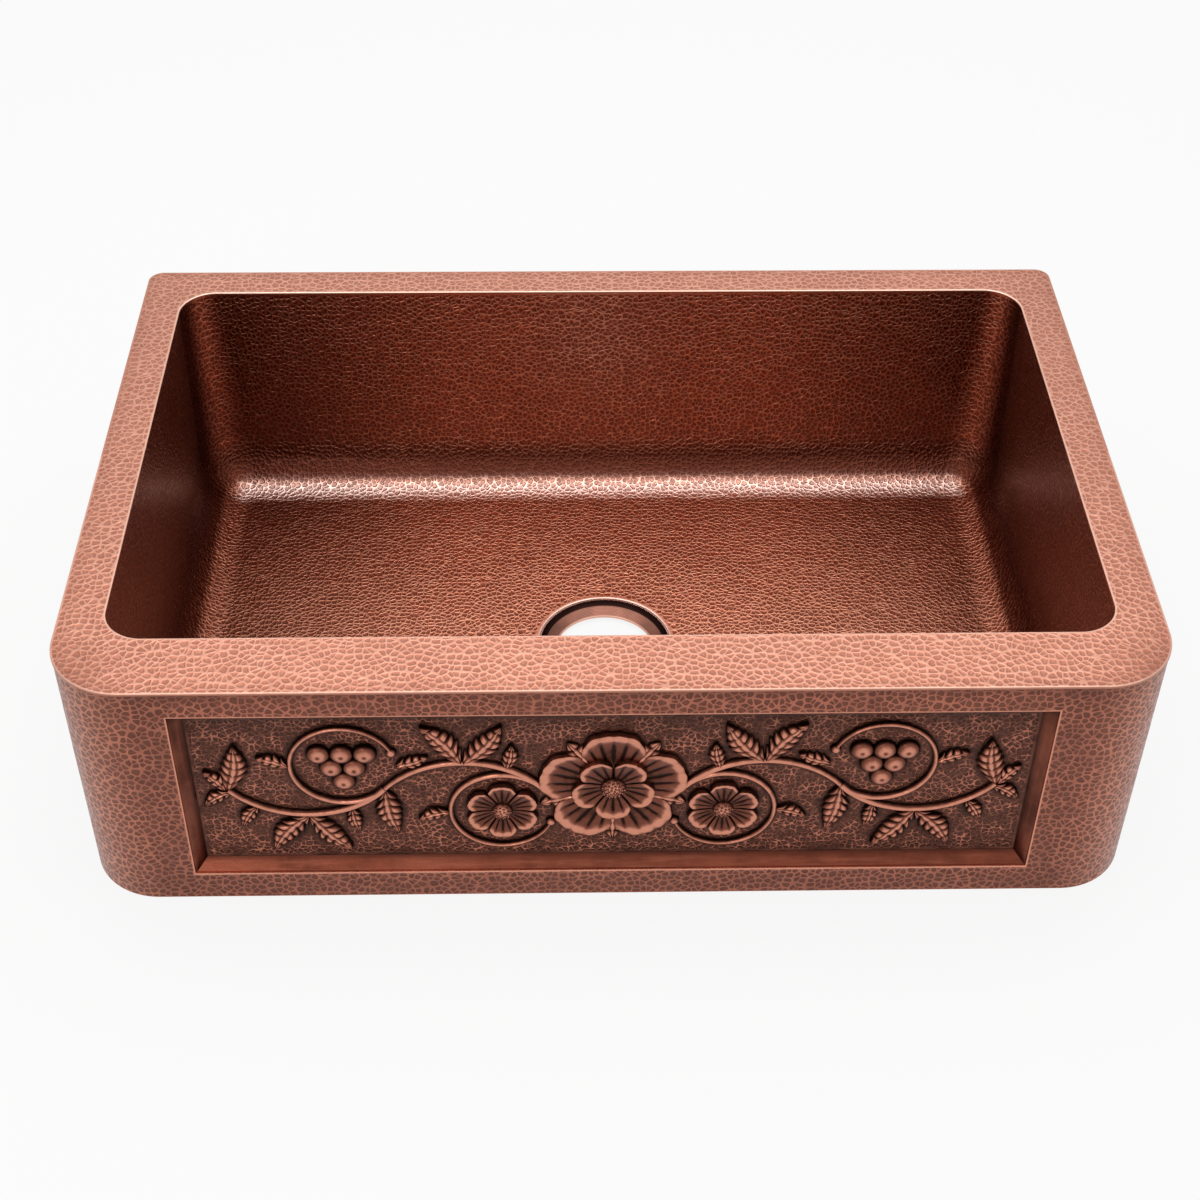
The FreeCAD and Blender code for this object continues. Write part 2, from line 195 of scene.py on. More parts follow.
def divide(piece, cuts, test):
    # cuts what passes the test into even lengths
    # subdivide makes 100 cuts at most, so long edges take two steps
    if cuts < 1 or not choose(piece, "EDGE", test):
        return
    lengths = math.ceil((cuts + 1) / 100)
    if lengths > 1:
        axis = mainAxis(next(e for e in bmesh.from_edit_mesh(piece.data).edges if e.select))
        bpy.ops.mesh.subdivide(number_cuts=lengths - 1)
        edges = bmesh.from_edit_mesh(piece.data).edges
        edges.index_update()
        chosen = {e.index for e in edges if e.select and abs(span(e)[axis]) > 0.95 * span(e).length}
        choose(piece, "EDGE", lambda e: e.index in chosen)
    bpy.ops.mesh.subdivide(number_cuts=round((cuts + 1) / lengths) - 1)


def moveVertices(piece, at):
    piece.data.vertices.foreach_set("co", at.ravel())
    piece.data.update()


def cutsFor(length, pitch):
    return max(int(round(length / pitch)) - 1, 0)


def solidify(piece, thickness, offset):
    modifier = piece.modifiers.new("thickness", "SOLIDIFY")
    modifier.thickness = thickness
    modifier.offset = offset
    modifier.use_even_offset = True
    applyModifier(piece, modifier)


def separate(piece, name, test):
    # takes the faces that pass the test off the piece, as a new object
    edit(piece)
    choose(piece, "FACE", test)
    bpy.ops.mesh.separate(type="SELECTED")
    leaveEdit()
    part = [o for o in bpy.context.selected_objects if o is not piece][0]
    part.name = name
    part.data.name = name
    return part


def finished(piece, slot, material, *nodes):
    # the last steps of every piece: its material, its body and the nodes it stands for; slot is not used
    piece.data.materials.clear()
    piece.data.materials.append(material)
    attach(piece, "root")
    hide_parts(*nodes)
    print("made", piece.name, len(piece.data.polygons), "faces")


def coordinates(piece):
    flat = np.zeros(len(piece.data.vertices) * 3)
    piece.data.vertices.foreach_get("co", flat)
    return flat.reshape(-1, 3)


def store(piece, name, values):
    # keeps a number or a vector for each vertex, which the hammering and the materials read
    values = np.asarray(values, np.float32)
    kind, field = ("FLOAT_VECTOR", "vector") if values.ndim == 2 else ("FLOAT", "value")
    attribute = piece.data.attributes.get(name) or piece.data.attributes.new(name, kind, "POINT")
    attribute.data.foreach_set(field, values.ravel())


def ease(values, low, high):
    t = np.clip((values - low) / (high - low), 0, 1)
    return t * t * (3 - 2 * t)


def bell(values, centre, width):
    return np.exp(-(((values - centre) / width) ** 2))


def roundedDistance(x, y, low, high, radius):
    # how far inside a rounded outline each point is
    halfX, halfY = (high.x - low.x) / 2, (high.y - low.y) / 2
    qx = np.abs(x - (low.x + high.x) / 2) - halfX + radius
    qy = np.abs(y - (low.y + high.y) / 2) - halfY + radius
    outside = np.hypot(np.maximum(qx, 0), np.maximum(qy, 0))
    return radius - outside - np.minimum(np.maximum(qx, qy), 0)


# Node helpers


def link(tree, fromSocket, toSocket):
    tree.links.new(fromSocket, toSocket)


def mathNode(tree, operation, first, second=None):
    node = tree.nodes.new("ShaderNodeMath")
    node.operation = operation
    for socket, value in zip(node.inputs, (first, second)):
        if value is None:
            continue
        if isinstance(value, (int, float)):
            socket.default_value = value
        else:
            link(tree, value, socket)
    return node.outputs[0]


def rangeNode(tree, value, low, high, toLow=0.0, toHigh=1.0, kind="SMOOTHSTEP"):
    node = tree.nodes.new("ShaderNodeMapRange")
    node.interpolation_type = kind
    link(tree, value, node.inputs["Value"])
    for name, number in (("From Min", low), ("From Max", high), ("To Min", toLow), ("To Max", toHigh)):
        node.inputs[name].default_value = number
    return node.outputs["Result"]


def voronoi(tree, vector, feature, randomness):
    node = tree.nodes.new("ShaderNodeTexVoronoi")
    node.voronoi_dimensions = "2D"
    node.feature = feature
    node.inputs["Scale"].default_value = 1
    node.inputs["Randomness"].default_value = randomness
    link(tree, vector, node.inputs["Vector"])
    return node


# Hammering: the same pattern of dents drives the mesh and the material

hammer = {
    "cell": 0.0058,
    "randomness": 0.94,
    "round": 0.36,
    "depth": 0.00030,
    "flatFrom": 0.36,
    "tilt": 0.00014,
    "wobble": 0.28,
    "wobbleScale": 0.55,
    "mesh": 0.6,
    "line": 0.11,
}
bowlHammer = dict(hammer, cell=0.0046, randomness=1.0, depth=0.00032, mesh=0.28, line=0.10, wobble=0.45)


def vectorNode(tree, operation, first, second=None, third=None):
    node = tree.nodes.new("ShaderNodeVectorMath")
    node.operation = operation
    for socket, value in zip(node.inputs, (first, second, third)):
        if isinstance(value, tuple):
            socket.default_value = value
        elif value is not None:
            link(tree, value, socket)
    return node


def cellPattern(tree, flat, pattern):
    # gives the distance from the nearest ridge, less at a cell's corners, then the cell's colour and its tilt
    scale = (1 / pattern["cell"],) * 3
    scaled = vectorNode(tree, "MULTIPLY", flat, scale).outputs[0]
    noise = tree.nodes.new("ShaderNodeTexNoise")
    noise.inputs["Scale"].default_value = pattern["wobbleScale"]
    noise.inputs["Detail"].default_value = 1
    link(tree, scaled, noise.inputs["Vector"])
    reach = (pattern["wobble"] * 2,) * 3
    moved = vectorNode(tree, "MULTIPLY_ADD", noise.outputs["Color"], reach, scaled).outputs[0]
    edges = voronoi(tree, moved, "DISTANCE_TO_EDGE", pattern["randomness"])
    cells = voronoi(tree, moved, "F1", pattern["randomness"])
    squared = mathNode(tree, "POWER", cells.outputs["Distance"], 2.0)
    corner = mathNode(tree, "MULTIPLY", squared, pattern["round"])
    rounded = mathNode(tree, "SUBTRACT", edges.outputs["Distance"], corner)
    away = vectorNode(tree, "SUBTRACT", moved, cells.outputs["Position"]).outputs[0]
    lean = vectorNode(tree, "SUBTRACT", cells.outputs["Color"], (0.5, 0.5, 0.5)).outputs[0]
    tilt = vectorNode(tree, "DOT_PRODUCT", away, lean).outputs["Value"]
    return rounded, cells.outputs["Color"], tilt


def dentHeight(tree, flat, pattern):
    # height of the beaten face in metres: 0 on the ridges, below it in the dents
    toRidge, colour, tilt = cellPattern(tree, flat, pattern)
    towards = rangeNode(tree, toRidge, -0.04, pattern["flatFrom"], kind="LINEAR")
    rise = mathNode(tree, "SUBTRACT", 1.0, towards)
    dish = mathNode(tree, "SUBTRACT", 1.0, mathNode(tree, "MULTIPLY", rise, rise))
    hollow = mathNode(tree, "MULTIPLY", dish, -pattern["depth"])
    leaning = mathNode(tree, "MULTIPLY", mathNode(tree, "MULTIPLY", tilt, pattern["tilt"] * 2), dish)
    return mathNode(tree, "ADD", hollow, leaning), toRidge, colour


def attributeOutput(tree, name, vector):
    node = tree.nodes.new("GeometryNodeInputNamedAttribute")
    node.data_type = "FLOAT_VECTOR" if vector else "FLOAT"
    node.inputs["Name"].default_value = name
    return [s for s in node.outputs if s.enabled and s.name == "Attribute"][0]


def blended(tree, first, second, share):
    kept = mathNode(tree, "MULTIPLY", first, mathNode(tree, "SUBTRACT", 1.0, share))
    return mathNode(tree, "ADD", kept, mathNode(tree, "MULTIPLY", second, share))


def beatingNodes(name, pattern):
    # geometry nodes that beat the dents into a sheet, along its normals
    tree = bpy.data.node_groups.new(name, "GeometryNodeTree")
    tree.interface.new_socket("Geometry", in_out="INPUT", socket_type="NodeSocketGeometry")
    tree.interface.new_socket("Geometry", in_out="OUTPUT", socket_type="NodeSocketGeometry")
    start = tree.nodes.new("NodeGroupInput")
    end = tree.nodes.new("NodeGroupOutput")
    maps = [attributeOutput(tree, which, True) for which in ("flatA", "flatB")]
    first, second = [dentHeight(tree, flat, pattern)[0] for flat in maps]
    mixed = blended(tree, first, second, attributeOutput(tree, "turn", False))
    depth = mathNode(tree, "MULTIPLY", attributeOutput(tree, "dent", False), pattern["mesh"])
    height = mathNode(tree, "MULTIPLY", mixed, depth)
    push = vectorNode(tree, "SCALE", tree.nodes.new("GeometryNodeInputNormal").outputs[0])
    link(tree, height, push.inputs["Scale"])
    move = tree.nodes.new("GeometryNodeSetPosition")
    link(tree, start.outputs[0], move.inputs["Geometry"])
    link(tree, push.outputs[0], move.inputs["Offset"])
    link(tree, move.outputs[0], end.inputs[0])
    return tree


hammerNodes = beatingNodes("hammering", hammer)
bowlNodes = beatingNodes("bowl_hammering", bowlHammer)


def beat(piece, flatA, dent, clear, paintedHighlight, flatB=None, turn=None, nodes=hammerNodes):
    # stores the flattened coordinates, how deep the dents are, how far patina and painted shade darken each
    # point, and the painted highlight, then beats the piece
    store(piece, "clear", clear)
    store(piece, "paintedHighlight", paintedHighlight)
    store(piece, "flatA", flatA)
    store(piece, "flatB", flatA if flatB is None else flatB)
    store(piece, "turn", np.zeros(len(dent)) if turn is None else turn)
    store(piece, "dent", dent)
    modifier = piece.modifiers.new("beating", "NODES")
    modifier.node_group = nodes
    applyModifier(piece, modifier)


# Materials

# in each hammered finish the fourth colour is that of its painted highlight
finishes = {
    "rim": {
        "cell": (0.55, 0.217, 0.143),
        "ridge": (0.74, 0.375, 0.270),
        "dark": (0.28, 0.100, 0.064),
        "paintedHighlight": (0.95, 0.640, 0.510),
        "rough": 0.40,
        "ridges": 0.80,
        "fade": 0.35,
        "bump": 0.7,
        "wax": 0.12,
    },
    "apron": {
        "cell": (0.180, 0.062, 0.042),
        "ridge": (0.47, 0.165, 0.104),
        "dark": (0.090, 0.031, 0.022),
        "paintedHighlight": (0.76, 0.340, 0.230),
        "rough": 0.36,
        "ridges": 0.80,
        "fade": 0.45,
        "bump": 0.8,
        "wax": 0.08,
    },
    "bowl": {
        "cell": (0.48, 0.145, 0.086),
        "ridge": (0.95, 0.460, 0.300),
        "dark": (0.088, 0.018, 0.009),
        "paintedHighlight": (0.97, 0.780, 0.710),
        "rough": 0.34,
        "ridges": 0.80,
        "fade": 0.35,
        "bump": 1.0,
        "wax": 0.04,
    },
    "ground": {
        "cell": (0.085, 0.029, 0.019),
        "ridge": (0.50, 0.180, 0.115),
        "dark": (0.028, 0.010, 0.007),
        "paintedHighlight": (0.50, 0.180, 0.115),
        "rough": 0.36,
        "ridges": 0.85,
        "fade": 0.85,
        "bump": 0.9,
        "wax": 0.08,
    },
    "carved": {
        "cell": (0.17, 0.055, 0.035),
        "ridge": (0.62, 0.255, 0.170),
        "dark": (0.018, 0.006, 0.004),
        "rough": 0.26,
    },
    "level": {
        "cell": (0.21, 0.056, 0.031),
        "ridge": (0.37, 0.118, 0.070),
        "dark": (0.06, 0.017, 0.011),
        "rough": 0.30,
    },
    "side": {
        "cell": (0.17, 0.050, 0.029),
        "ridge": (0.27, 0.088, 0.052),
        "dark": (0.03, 0.010, 0.007),
        "rough": 0.30,
    },
    "seat": {
        "cell": (0.17, 0.062, 0.043),
        "ridge": (0.80, 0.440, 0.330),
        "dark": (0.016, 0.006, 0.005),
        "rough": 0.30,
    },
    "plain": {
        "cell": (0.30, 0.12, 0.085),
        "ridge": (0.42, 0.19, 0.14),
        "dark": (0.14, 0.055, 0.04),
        "rough": 0.5,
    },
}


# how much each layer of the patina covers, for all hammered finishes; darkest is how far the painted shade,
# with the rim's patina, darkens
patina = {
    "tint": 0.50,
    "patches": 0.30,
    "outline": 0.40,
    "specks": 0.16,
    "ragged": 0.10,
    "darkest": 0.95,
    "grain": 0.00003,
    "waxRough": 0.22,
}


def mixColour(tree, factor, first, second):
    node = tree.nodes.new("ShaderNodeMix")
    node.data_type = "RGBA"
    for socket, value in ((node.inputs[0], factor), (node.inputs[6], first), (node.inputs[7], second)):
        if isinstance(value, (int, float)):
            socket.default_value = value
        elif isinstance(value, tuple):
            socket.default_value = (*value, 1)
        else:
            link(tree, value, socket)
    return node.outputs[2]


def newMaterial(name):
    material = bpy.data.materials.new(name)
    material.use_nodes = True
    tree = material.node_tree
    shader = tree.nodes["Principled BSDF"]
    shader.inputs["Metallic"].default_value = 1.0
    return material, tree, shader


def objectPlace(tree):
    return tree.nodes.new("ShaderNodeTexCoord").outputs["Object"]


def noiseValue(tree, vector, scale, detail=3.0, rough=0.55):
    node = tree.nodes.new("ShaderNodeTexNoise")
    node.inputs["Scale"].default_value = scale
    node.inputs["Detail"].default_value = detail
    node.inputs["Roughness"].default_value = rough
    link(tree, vector, node.inputs["Vector"])
    return node.outputs["Fac"]


def addBump(tree, shader, height, strength, distance):
    bump = tree.nodes.new("ShaderNodeBump")
    bump.inputs["Strength"].default_value = strength
    bump.inputs["Distance"].default_value = distance
    link(tree, height, bump.inputs["Height"])
    link(tree, bump.outputs[0], shader.inputs["Normal"])


def readAttribute(tree, name, output="Vector"):
    node = tree.nodes.new("ShaderNodeAttribute")
    node.attribute_name = name
    return node.outputs[output]


def hammeredMaterial(name, finish, pattern):
    # darker dents that differ from cell to cell, an outline inside each, ridges that are worn bright, then
    # the stored painted shade and painted highlight
    material, tree, shader = newMaterial(name)
    place = objectPlace(tree)
    heights, ridges, tints = [], [], []
    for which in ("flatA", "flatB"):
        height, toRidge, colour = dentHeight(tree, readAttribute(tree, which), pattern)
        split = tree.nodes.new("ShaderNodeSeparateColor")
        link(tree, colour, split.inputs[0])
        heights.append(height)
        ridges.append(toRidge)
        tints.append(split.outputs[0])
    turn = readAttribute(tree, "turn", "Fac")
    dent = readAttribute(tree, "dent", "Fac")
    toRidge = blended(tree, *ridges, turn)
    tint = blended(tree, *tints, turn)
    ragged = mathNode(tree, "SUBTRACT", noiseValue(tree, place, 420.0, 2.0), 0.5)
    ragged = mathNode(tree, "MULTIPLY", ragged, patina["ragged"])
    fromRidge = mathNode(tree, "ADD", toRidge, ragged)
    onRidge = rangeNode(tree, fromRidge, -0.01, pattern["line"], 1.0, 0.0)
    inner = rangeNode(tree, fromRidge, 0.16, 0.28, 1.0, 0.0)
    outline = mathNode(tree, "MULTIPLY", rangeNode(tree, fromRidge, 0.06, 0.14), inner)
    worn = mathNode(tree, "MAXIMUM", onRidge, rangeNode(tree, dent, 0.15, 0.75, 1.0, 0.0))
    patches = rangeNode(tree, noiseValue(tree, place, 9.0, 4.0), 0.35, 0.68)
    specks = rangeNode(tree, noiseValue(tree, place, 900.0, 2.0), 0.42, 0.66)
    cellTone = finish["cell"]
    layers = (
        ("tint", tint, "dark"),
        ("patches", patches, "dark"),
        ("outline", outline, "dark"),
        ("specks", specks, "ridge"),
    )
    for layer, cover, tone in layers:
        share = mathNode(tree, "MULTIPLY", cover, patina[layer])
        cellTone = mixColour(tree, share, cellTone, finish[tone])
    fading = rangeNode(tree, noiseValue(tree, place, 60.0, 3.0), 0.38, 0.66, 0.0, finish["fade"])
    ridgeTone = mixColour(tree, fading, finish["ridge"], finish["cell"])
    colour = mixColour(tree, mathNode(tree, "MULTIPLY", worn, finish["ridges"]), cellTone, ridgeTone)
    # painted shade: where clear is low the colour goes to the dark tone (on the rim partly patina)
    clear = readAttribute(tree, "clear", "Fac")
    shaded = rangeNode(tree, clear, 0.0, 1.0, patina["darkest"], 0.0, kind="LINEAR")
    colour = mixColour(tree, shaded, colour, finish["dark"])
    # painted highlight: the stored highlight mixes a pale colour in, most on the ridges
    reach = rangeNode(tree, worn, 0.0, 1.0, 0.35, 1.0)
    paintedHighlightShare = mathNode(tree, "MULTIPLY", readAttribute(tree, "paintedHighlight", "Fac"), reach)
    colour = mixColour(tree, paintedHighlightShare, colour, finish["paintedHighlight"])
    link(tree, colour, shader.inputs["Base Color"])
    rough = mathNode(tree, "MULTIPLY_ADD", tint, 0.12)
    rough.node.inputs[2].default_value = finish["rough"] - 0.06
    link(tree, rough, shader.inputs["Roughness"])
    fine = mathNode(tree, "MULTIPLY", noiseValue(tree, place, 1400.0, 2.0), patina["grain"])
    masked = mathNode(tree, "MULTIPLY", blended(tree, *heights, turn), dent)
    addBump(tree, shader, mathNode(tree, "ADD", masked, fine), finish["bump"], 1.0)
    shader.inputs["Coat Weight"].default_value = finish["wax"]
    shader.inputs["Coat Roughness"].default_value = patina["waxRough"]
    return material


def carvedMaterial(name, finish):
    # the raised work: dark at its feet and in its grooves, partly patina and partly painted shade, and rubbed
    # bright on top
    material, tree, shader = newMaterial(name)
    place = objectPlace(tree)
    rubAndShade = readAttribute(tree, "rubAndShade", "Fac")
    uneven = mathNode(tree, "SUBTRACT", noiseValue(tree, place, 160.0, 4.0, 0.6), 0.5)
    uneven = mathNode(tree, "MULTIPLY", uneven, 0.45)
    height = mathNode(tree, "ADD", rubAndShade, uneven)
    colour = mixColour(tree, rangeNode(tree, height, 0.05, 0.50), finish["dark"], finish["cell"])
    colour = mixColour(tree, rangeNode(tree, height, 0.50, 1.00), colour, finish["ridge"])
    link(tree, colour, shader.inputs["Base Color"])
    rough = rangeNode(tree, rubAndShade, 0.0, 1.0, finish["rough"] + 0.16, finish["rough"])
    link(tree, rough, shader.inputs["Roughness"])
    addBump(tree, shader, noiseValue(tree, place, 500.0, 3.0), 0.5, 0.0003)
    return material


def smoothMaterial(name, finish, streak=(3.0, 3.0, 60.0), recess=None):
    # smooth sheet under a brown patina, with rubbed streaks and clouds; recess paints shade on it, darker
    # towards its back
    material, tree, shader = newMaterial(name)
    place = objectPlace(tree)
    stretch = tree.nodes.new("ShaderNodeMapping")
    stretch.inputs["Scale"].default_value = streak
    link(tree, place, stretch.inputs["Vector"])
    streaks = rangeNode(tree, noiseValue(tree, stretch.outputs[0], 6.0, 6.0, 0.65), 0.42, 0.72)
    clouds = rangeNode(tree, noiseValue(tree, place, 24.0, 5.0, 0.6), 0.35, 0.70)
    colour = mixColour(tree, mathNode(tree, "MULTIPLY", clouds, 0.60), finish["cell"], finish["dark"])
    colour = mixColour(tree, mathNode(tree, "MULTIPLY", streaks, 0.40), colour, finish["ridge"])
    # painted shade: darker towards the back of the recess, under its top and at its foot
    if recess:
        split = tree.nodes.new("ShaderNodeSeparateXYZ")
        link(tree, place, split.inputs[0])
        deep = rangeNode(tree, split.outputs[1], recess["edge"], recess["back"], 0.0, 0.9)
        ends = rangeNode(tree, split.outputs[2], recess["high"] - 0.014, recess["high"], 0.0, 0.92)
        foot = rangeNode(tree, split.outputs[2], recess["low"], recess["low"] + 0.016, recess["foot"], 0.0)
        for share in (deep, ends, foot):
            colour = mixColour(tree, share, colour, finish["dark"])
    link(tree, colour, shader.inputs["Base Color"])
    rough = rangeNode(tree, clouds, 0.0, 1.0, finish["rough"] - 0.05, finish["rough"] + 0.14)
    link(tree, rough, shader.inputs["Roughness"])
    addBump(tree, shader, noiseValue(tree, place, 260.0, 4.0), 0.35, 0.0002)
    return material


def spunMaterial(name, finish):
    # the drain seat: painted shade makes it black under the mouth; brown and finely ringed on the ledge,
    # bright at the hole's lip
    material, tree, shader = newMaterial(name)
    place = objectPlace(tree)
    flat = vectorNode(tree, "MULTIPLY", place, (1, 1, 0)).outputs[0]
    radius = vectorNode(tree, "LENGTH", flat).outputs["Value"]
    rings = mathNode(tree, "SINE", mathNode(tree, "MULTIPLY", radius, 5200.0))
    rings = rangeNode(tree, rings, -1.0, 1.0, 0.0, 0.16)
    clouds = rangeNode(tree, noiseValue(tree, place, 60.0, 4.0), 0.35, 0.70, 0.0, 0.4)
    colour = mixColour(tree, clouds, finish["cell"], finish["dark"])
    colour = mixColour(tree, rings, colour, finish["ridge"])
    # painted shade: black under the mouth
    colour = mixColour(tree, rangeNode(tree, radius, 0.0531, 0.0543), colour, finish["dark"])
    colour = mixColour(tree, rangeNode(tree, radius, 0.0448, 0.0459, 0.9, 0.0), colour, finish["ridge"])
    link(tree, colour, shader.inputs["Base Color"])
    shader.inputs["Roughness"].default_value = finish["rough"]
    return material


rimCopper = hammeredMaterial("rimCopper", finishes["rim"], hammer)
apronCopper = hammeredMaterial("apronCopper", finishes["apron"], hammer)
bowlCopper = hammeredMaterial("bowlCopper", finishes["bowl"], bowlHammer)
carvedCopper = carvedMaterial("carvedCopper", finishes["carved"])
recess = {
    "edge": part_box("reveal_left")[0].y + 0.0035,
    "back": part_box("reveal_left")[1].y + 0.0010,
    "low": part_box("reveal_bottom")[0].z,
    "high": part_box("reveal_top")[1].z,
}
sideCopper = smoothMaterial("sideCopper", finishes["side"], (60.0, 3.0, 3.0), dict(recess, foot=0.9))
levelCopper = smoothMaterial("levelCopper", finishes["level"], (3.0, 3.0, 60.0), dict(recess, foot=0.0))
seatCopper = spunMaterial("seatCopper", finishes["seat"])
plainCopper = smoothMaterial("plainCopper", finishes["plain"], streak=(8.0, 8.0, 8.0))
print("materials ready")


# Deck: four hammered strips round the bowl

deck = {
    "front": 0.058,
    "back": 0.013,
    "frontSteps": 40,
    "backSteps": 24,
    "pitch": 0.0017,
    "frontStraight": 0.704,
    "backStraight": 0.760,
    "sideStraight": 0.440,
    "rows": 35,
    "edge": 0.0008,
}


def makeDeck():
    insideLow = bowlLow + Vector((bowl["lip"], bowl["lip"], 0))
    insideHigh = bowlHigh - Vector((bowl["lip"], bowl["lip"], 0))
    corner = bowl["cornerTop"] - bowl["lip"]
    steps = (deck["frontSteps"], deck["backSteps"])
    ring = roundedOutline("deck", deckLow, deckHigh, (deck["front"], deck["back"]), steps, deckTop)
    opening = roundedOutline("opening", insideLow, insideHigh, (corner, corner), steps, deckTop)
    joined(ring, opening)
    edit(ring)
    selectAll()
    bpy.ops.mesh.bridge_edge_loops()
    alignNormals()
    leaveEdit()
    if ring.data.polygons[0].normal.z < 0:
        flip(ring)
    solidify(ring, deckTop - deckUnder, -1)
    edit(ring)
    cuts = {end: cutsFor(deck[end + "Straight"], deck["pitch"]) for end in ("front", "back", "side")}
    divide(ring, cuts["front"], lambda e: abs(span(e).x) > 0.3 and middle(e).y < 0)
    divide(ring, cuts["back"], lambda e: abs(span(e).x) > 0.3 and middle(e).y > 0)
    divide(ring, cuts["side"], lambda e: abs(span(e).y) > 0.3)
    level = deckTop - 1e-5

    def depthIn(v):
        return roundedDistance(v.co.x, v.co.y, insideLow, insideHigh, corner)

    def topEdge(e):
        a, b = e.verts
        onTop = a.co.z > level and b.co.z > level and len(e.link_faces) == 2
        return onTop and abs(sum(f.normal.z for f in e.link_faces)) < 1.5

    def crossEdge(e):
        a, b = e.verts
        if a.co.z < level or b.co.z < level:
            return False
        return abs(depthIn(a) - depthIn(b)) > 0.02

    choose(ring, "EDGE", topEdge)
    bpy.ops.mesh.bevel(offset=deck["edge"], segments=3, affect="EDGES", offset_type="OFFSET")
    divide(ring, deck["rows"], crossEdge)
    leaveEdit()

    # the strips meet on mitres through the middles of the corner arcs
    inner = {"front": insideLow.y + corner, "back": insideHigh.y - corner}
    outer = {"front": deckLow.y + deck["front"], "back": deckHigh.y - deck["back"]}

    def beyondMitre(point, end):
        sign = -1 if end == "front" else 1
        reach = math.sqrt(0.5)
        ax = deckHigh.x - deck[end] + deck[end] * reach
        ay = outer[end] + sign * deck[end] * reach
        bx = insideHigh.x - corner + corner * reach
        by = inner[end] + sign * corner * reach
        px, py = abs(point.x), point.y
        return ((ax - bx) * (py - by) - (ay - by) * (px - bx)) * sign > 0

    def inFront(f):
        return beyondMitre(centreOf(f), "front") and centreOf(f).y < 0

    def atBack(f):
        return beyondMitre(centreOf(f), "back") and centreOf(f).y > 0

    strips = {"rim_front": separate(ring, "rim_front", inFront)}
    strips["rim_back"] = separate(ring, "rim_back", atBack)
    strips["rim_left"] = separate(ring, "rim_left", lambda f: centreOf(f).x < 0)
    ring.name = ring.data.name = "rim_right"
    strips["rim_right"] = ring
    for name, strip in strips.items():
        edit(strip)
        selectAll()
        bpy.ops.mesh.fill_holes(sides=0)
        leaveEdit()
        at = coordinates(strip)
        x, y, z = at[:, 0], at[:, 1], at[:, 2]
        radius = np.where(y < 0, deck["front"], deck["back"])
        fromOutside = roundedDistance(x, y, deckLow, deckHigh, radius)
        fromOpening = -roundedDistance(x, y, insideLow, insideHigh, corner)
        edge = np.minimum(fromOutside, fromOpening)
        dent = ease(edge, 0.0008, 0.0028) * (z > deckTop - 0.0001)
        # clear: patina darkens the outer edge and the front corners, the sides are a little darker, and the
        # faces below the top get painted shade
        frontCorner = ease(np.abs(x), 0.345, 0.405) * ease(-y, 0.205, 0.265)
        sides = 0.12 * ease(np.abs(x), 0.37, 0.40)
        clear = 1 - 0.25 * (1 - ease(fromOutside, 0.001, 0.016)) - 0.40 * frontCorner - sides
        clear = np.where(z > deckTop - 0.0006, clear, 0.35)
        # painted highlights: a bead round the opening, brighter at the back, and a thin line on the front
        # edge
        paintedHighlight = (0.45 + 0.45 * ease(y, 0.18, 0.24)) * bell(fromOpening, 0.0004, 0.0012)
        paintedHighlight = paintedHighlight + 0.4 * bell(fromOutside, 0.0006, 0.0006) * (y < 0)
        beat(strip, np.stack([x, y, np.zeros(len(x))], 1), dent, clear, paintedHighlight * (z > deckTop - 0.0007))
        smooth(strip)
        strip.name = name + "_sheet"
        finished(strip, "rim_copper", rimCopper, name)


makeDeck()
print("deck done")


# Skirt: the apron with its window, the sides and the drop at the back

skirt = {
    "front": 0.0574,
    "back": 0.0124,
    "frontSteps": 42,
    "backSteps": 8,
    "pitch": 0.0018,
    "edge": 0.0008,
    "windowHalf": 0.3294,
    "windowLow": 0.0282,
    "windowHigh": 0.2024,
    "windowEdge": 0.0007,
}


def extrudeUp(height):
    bpy.ops.mesh.extrude_region_move(TRANSFORM_OT_translate={"value": (0, 0, height)})


def cutPlane(place, normal, clearOuter=False, clearInner=False):
    selectAll()
    bpy.ops.mesh.bisect(plane_co=place, plane_no=normal, clear_outer=clearOuter, clear_inner=clearInner)


def divideStraights(piece, axis, pitch, longest=0.02):
    # divides the long straight stretches along an axis, each stretch into even lengths near the pitch
    mesh = bmesh.from_edit_mesh(piece.data)
    stretches = set()
    for e in mesh.edges:
        if abs(span(e)[axis]) > longest and abs(abs(span(e)[axis]) - span(e).length) < 1e-6:
            ends = sorted(v.co[axis] for v in e.verts)
            stretches.add((round(ends[0], 4), round(ends[1], 4)))
    for first, last in sorted(stretches):
        def inStretch(e):
            ends = sorted(v.co[axis] for v in e.verts)
            level = abs(abs(span(e)[axis]) - span(e).length) < 1e-6
            return level and abs(ends[0] - first) < 2e-4 and abs(ends[1] - last) < 2e-4
        divide(piece, cutsFor(last - first, pitch), inStretch)


def divideHeights(piece, pitch, onFace):
    # divides the upright edges of the seen face, band by band
    mesh = bmesh.from_edit_mesh(piece.data)
    bands = set()
    for e in mesh.edges:
        if abs(span(e).z) > pitch * 2 and onFace(e):
            ends = sorted(v.co.z for v in e.verts)
            bands.add((round(ends[0], 4), round(ends[1], 4)))
    for first, last in sorted(bands):
        def inBand(e):
            ends = sorted(v.co.z for v in e.verts)
            return abs(ends[0] - first) < 2e-4 and abs(ends[1] - last) < 2e-4 and onFace(e)
        divide(piece, cutsFor(last - first, pitch), inBand)


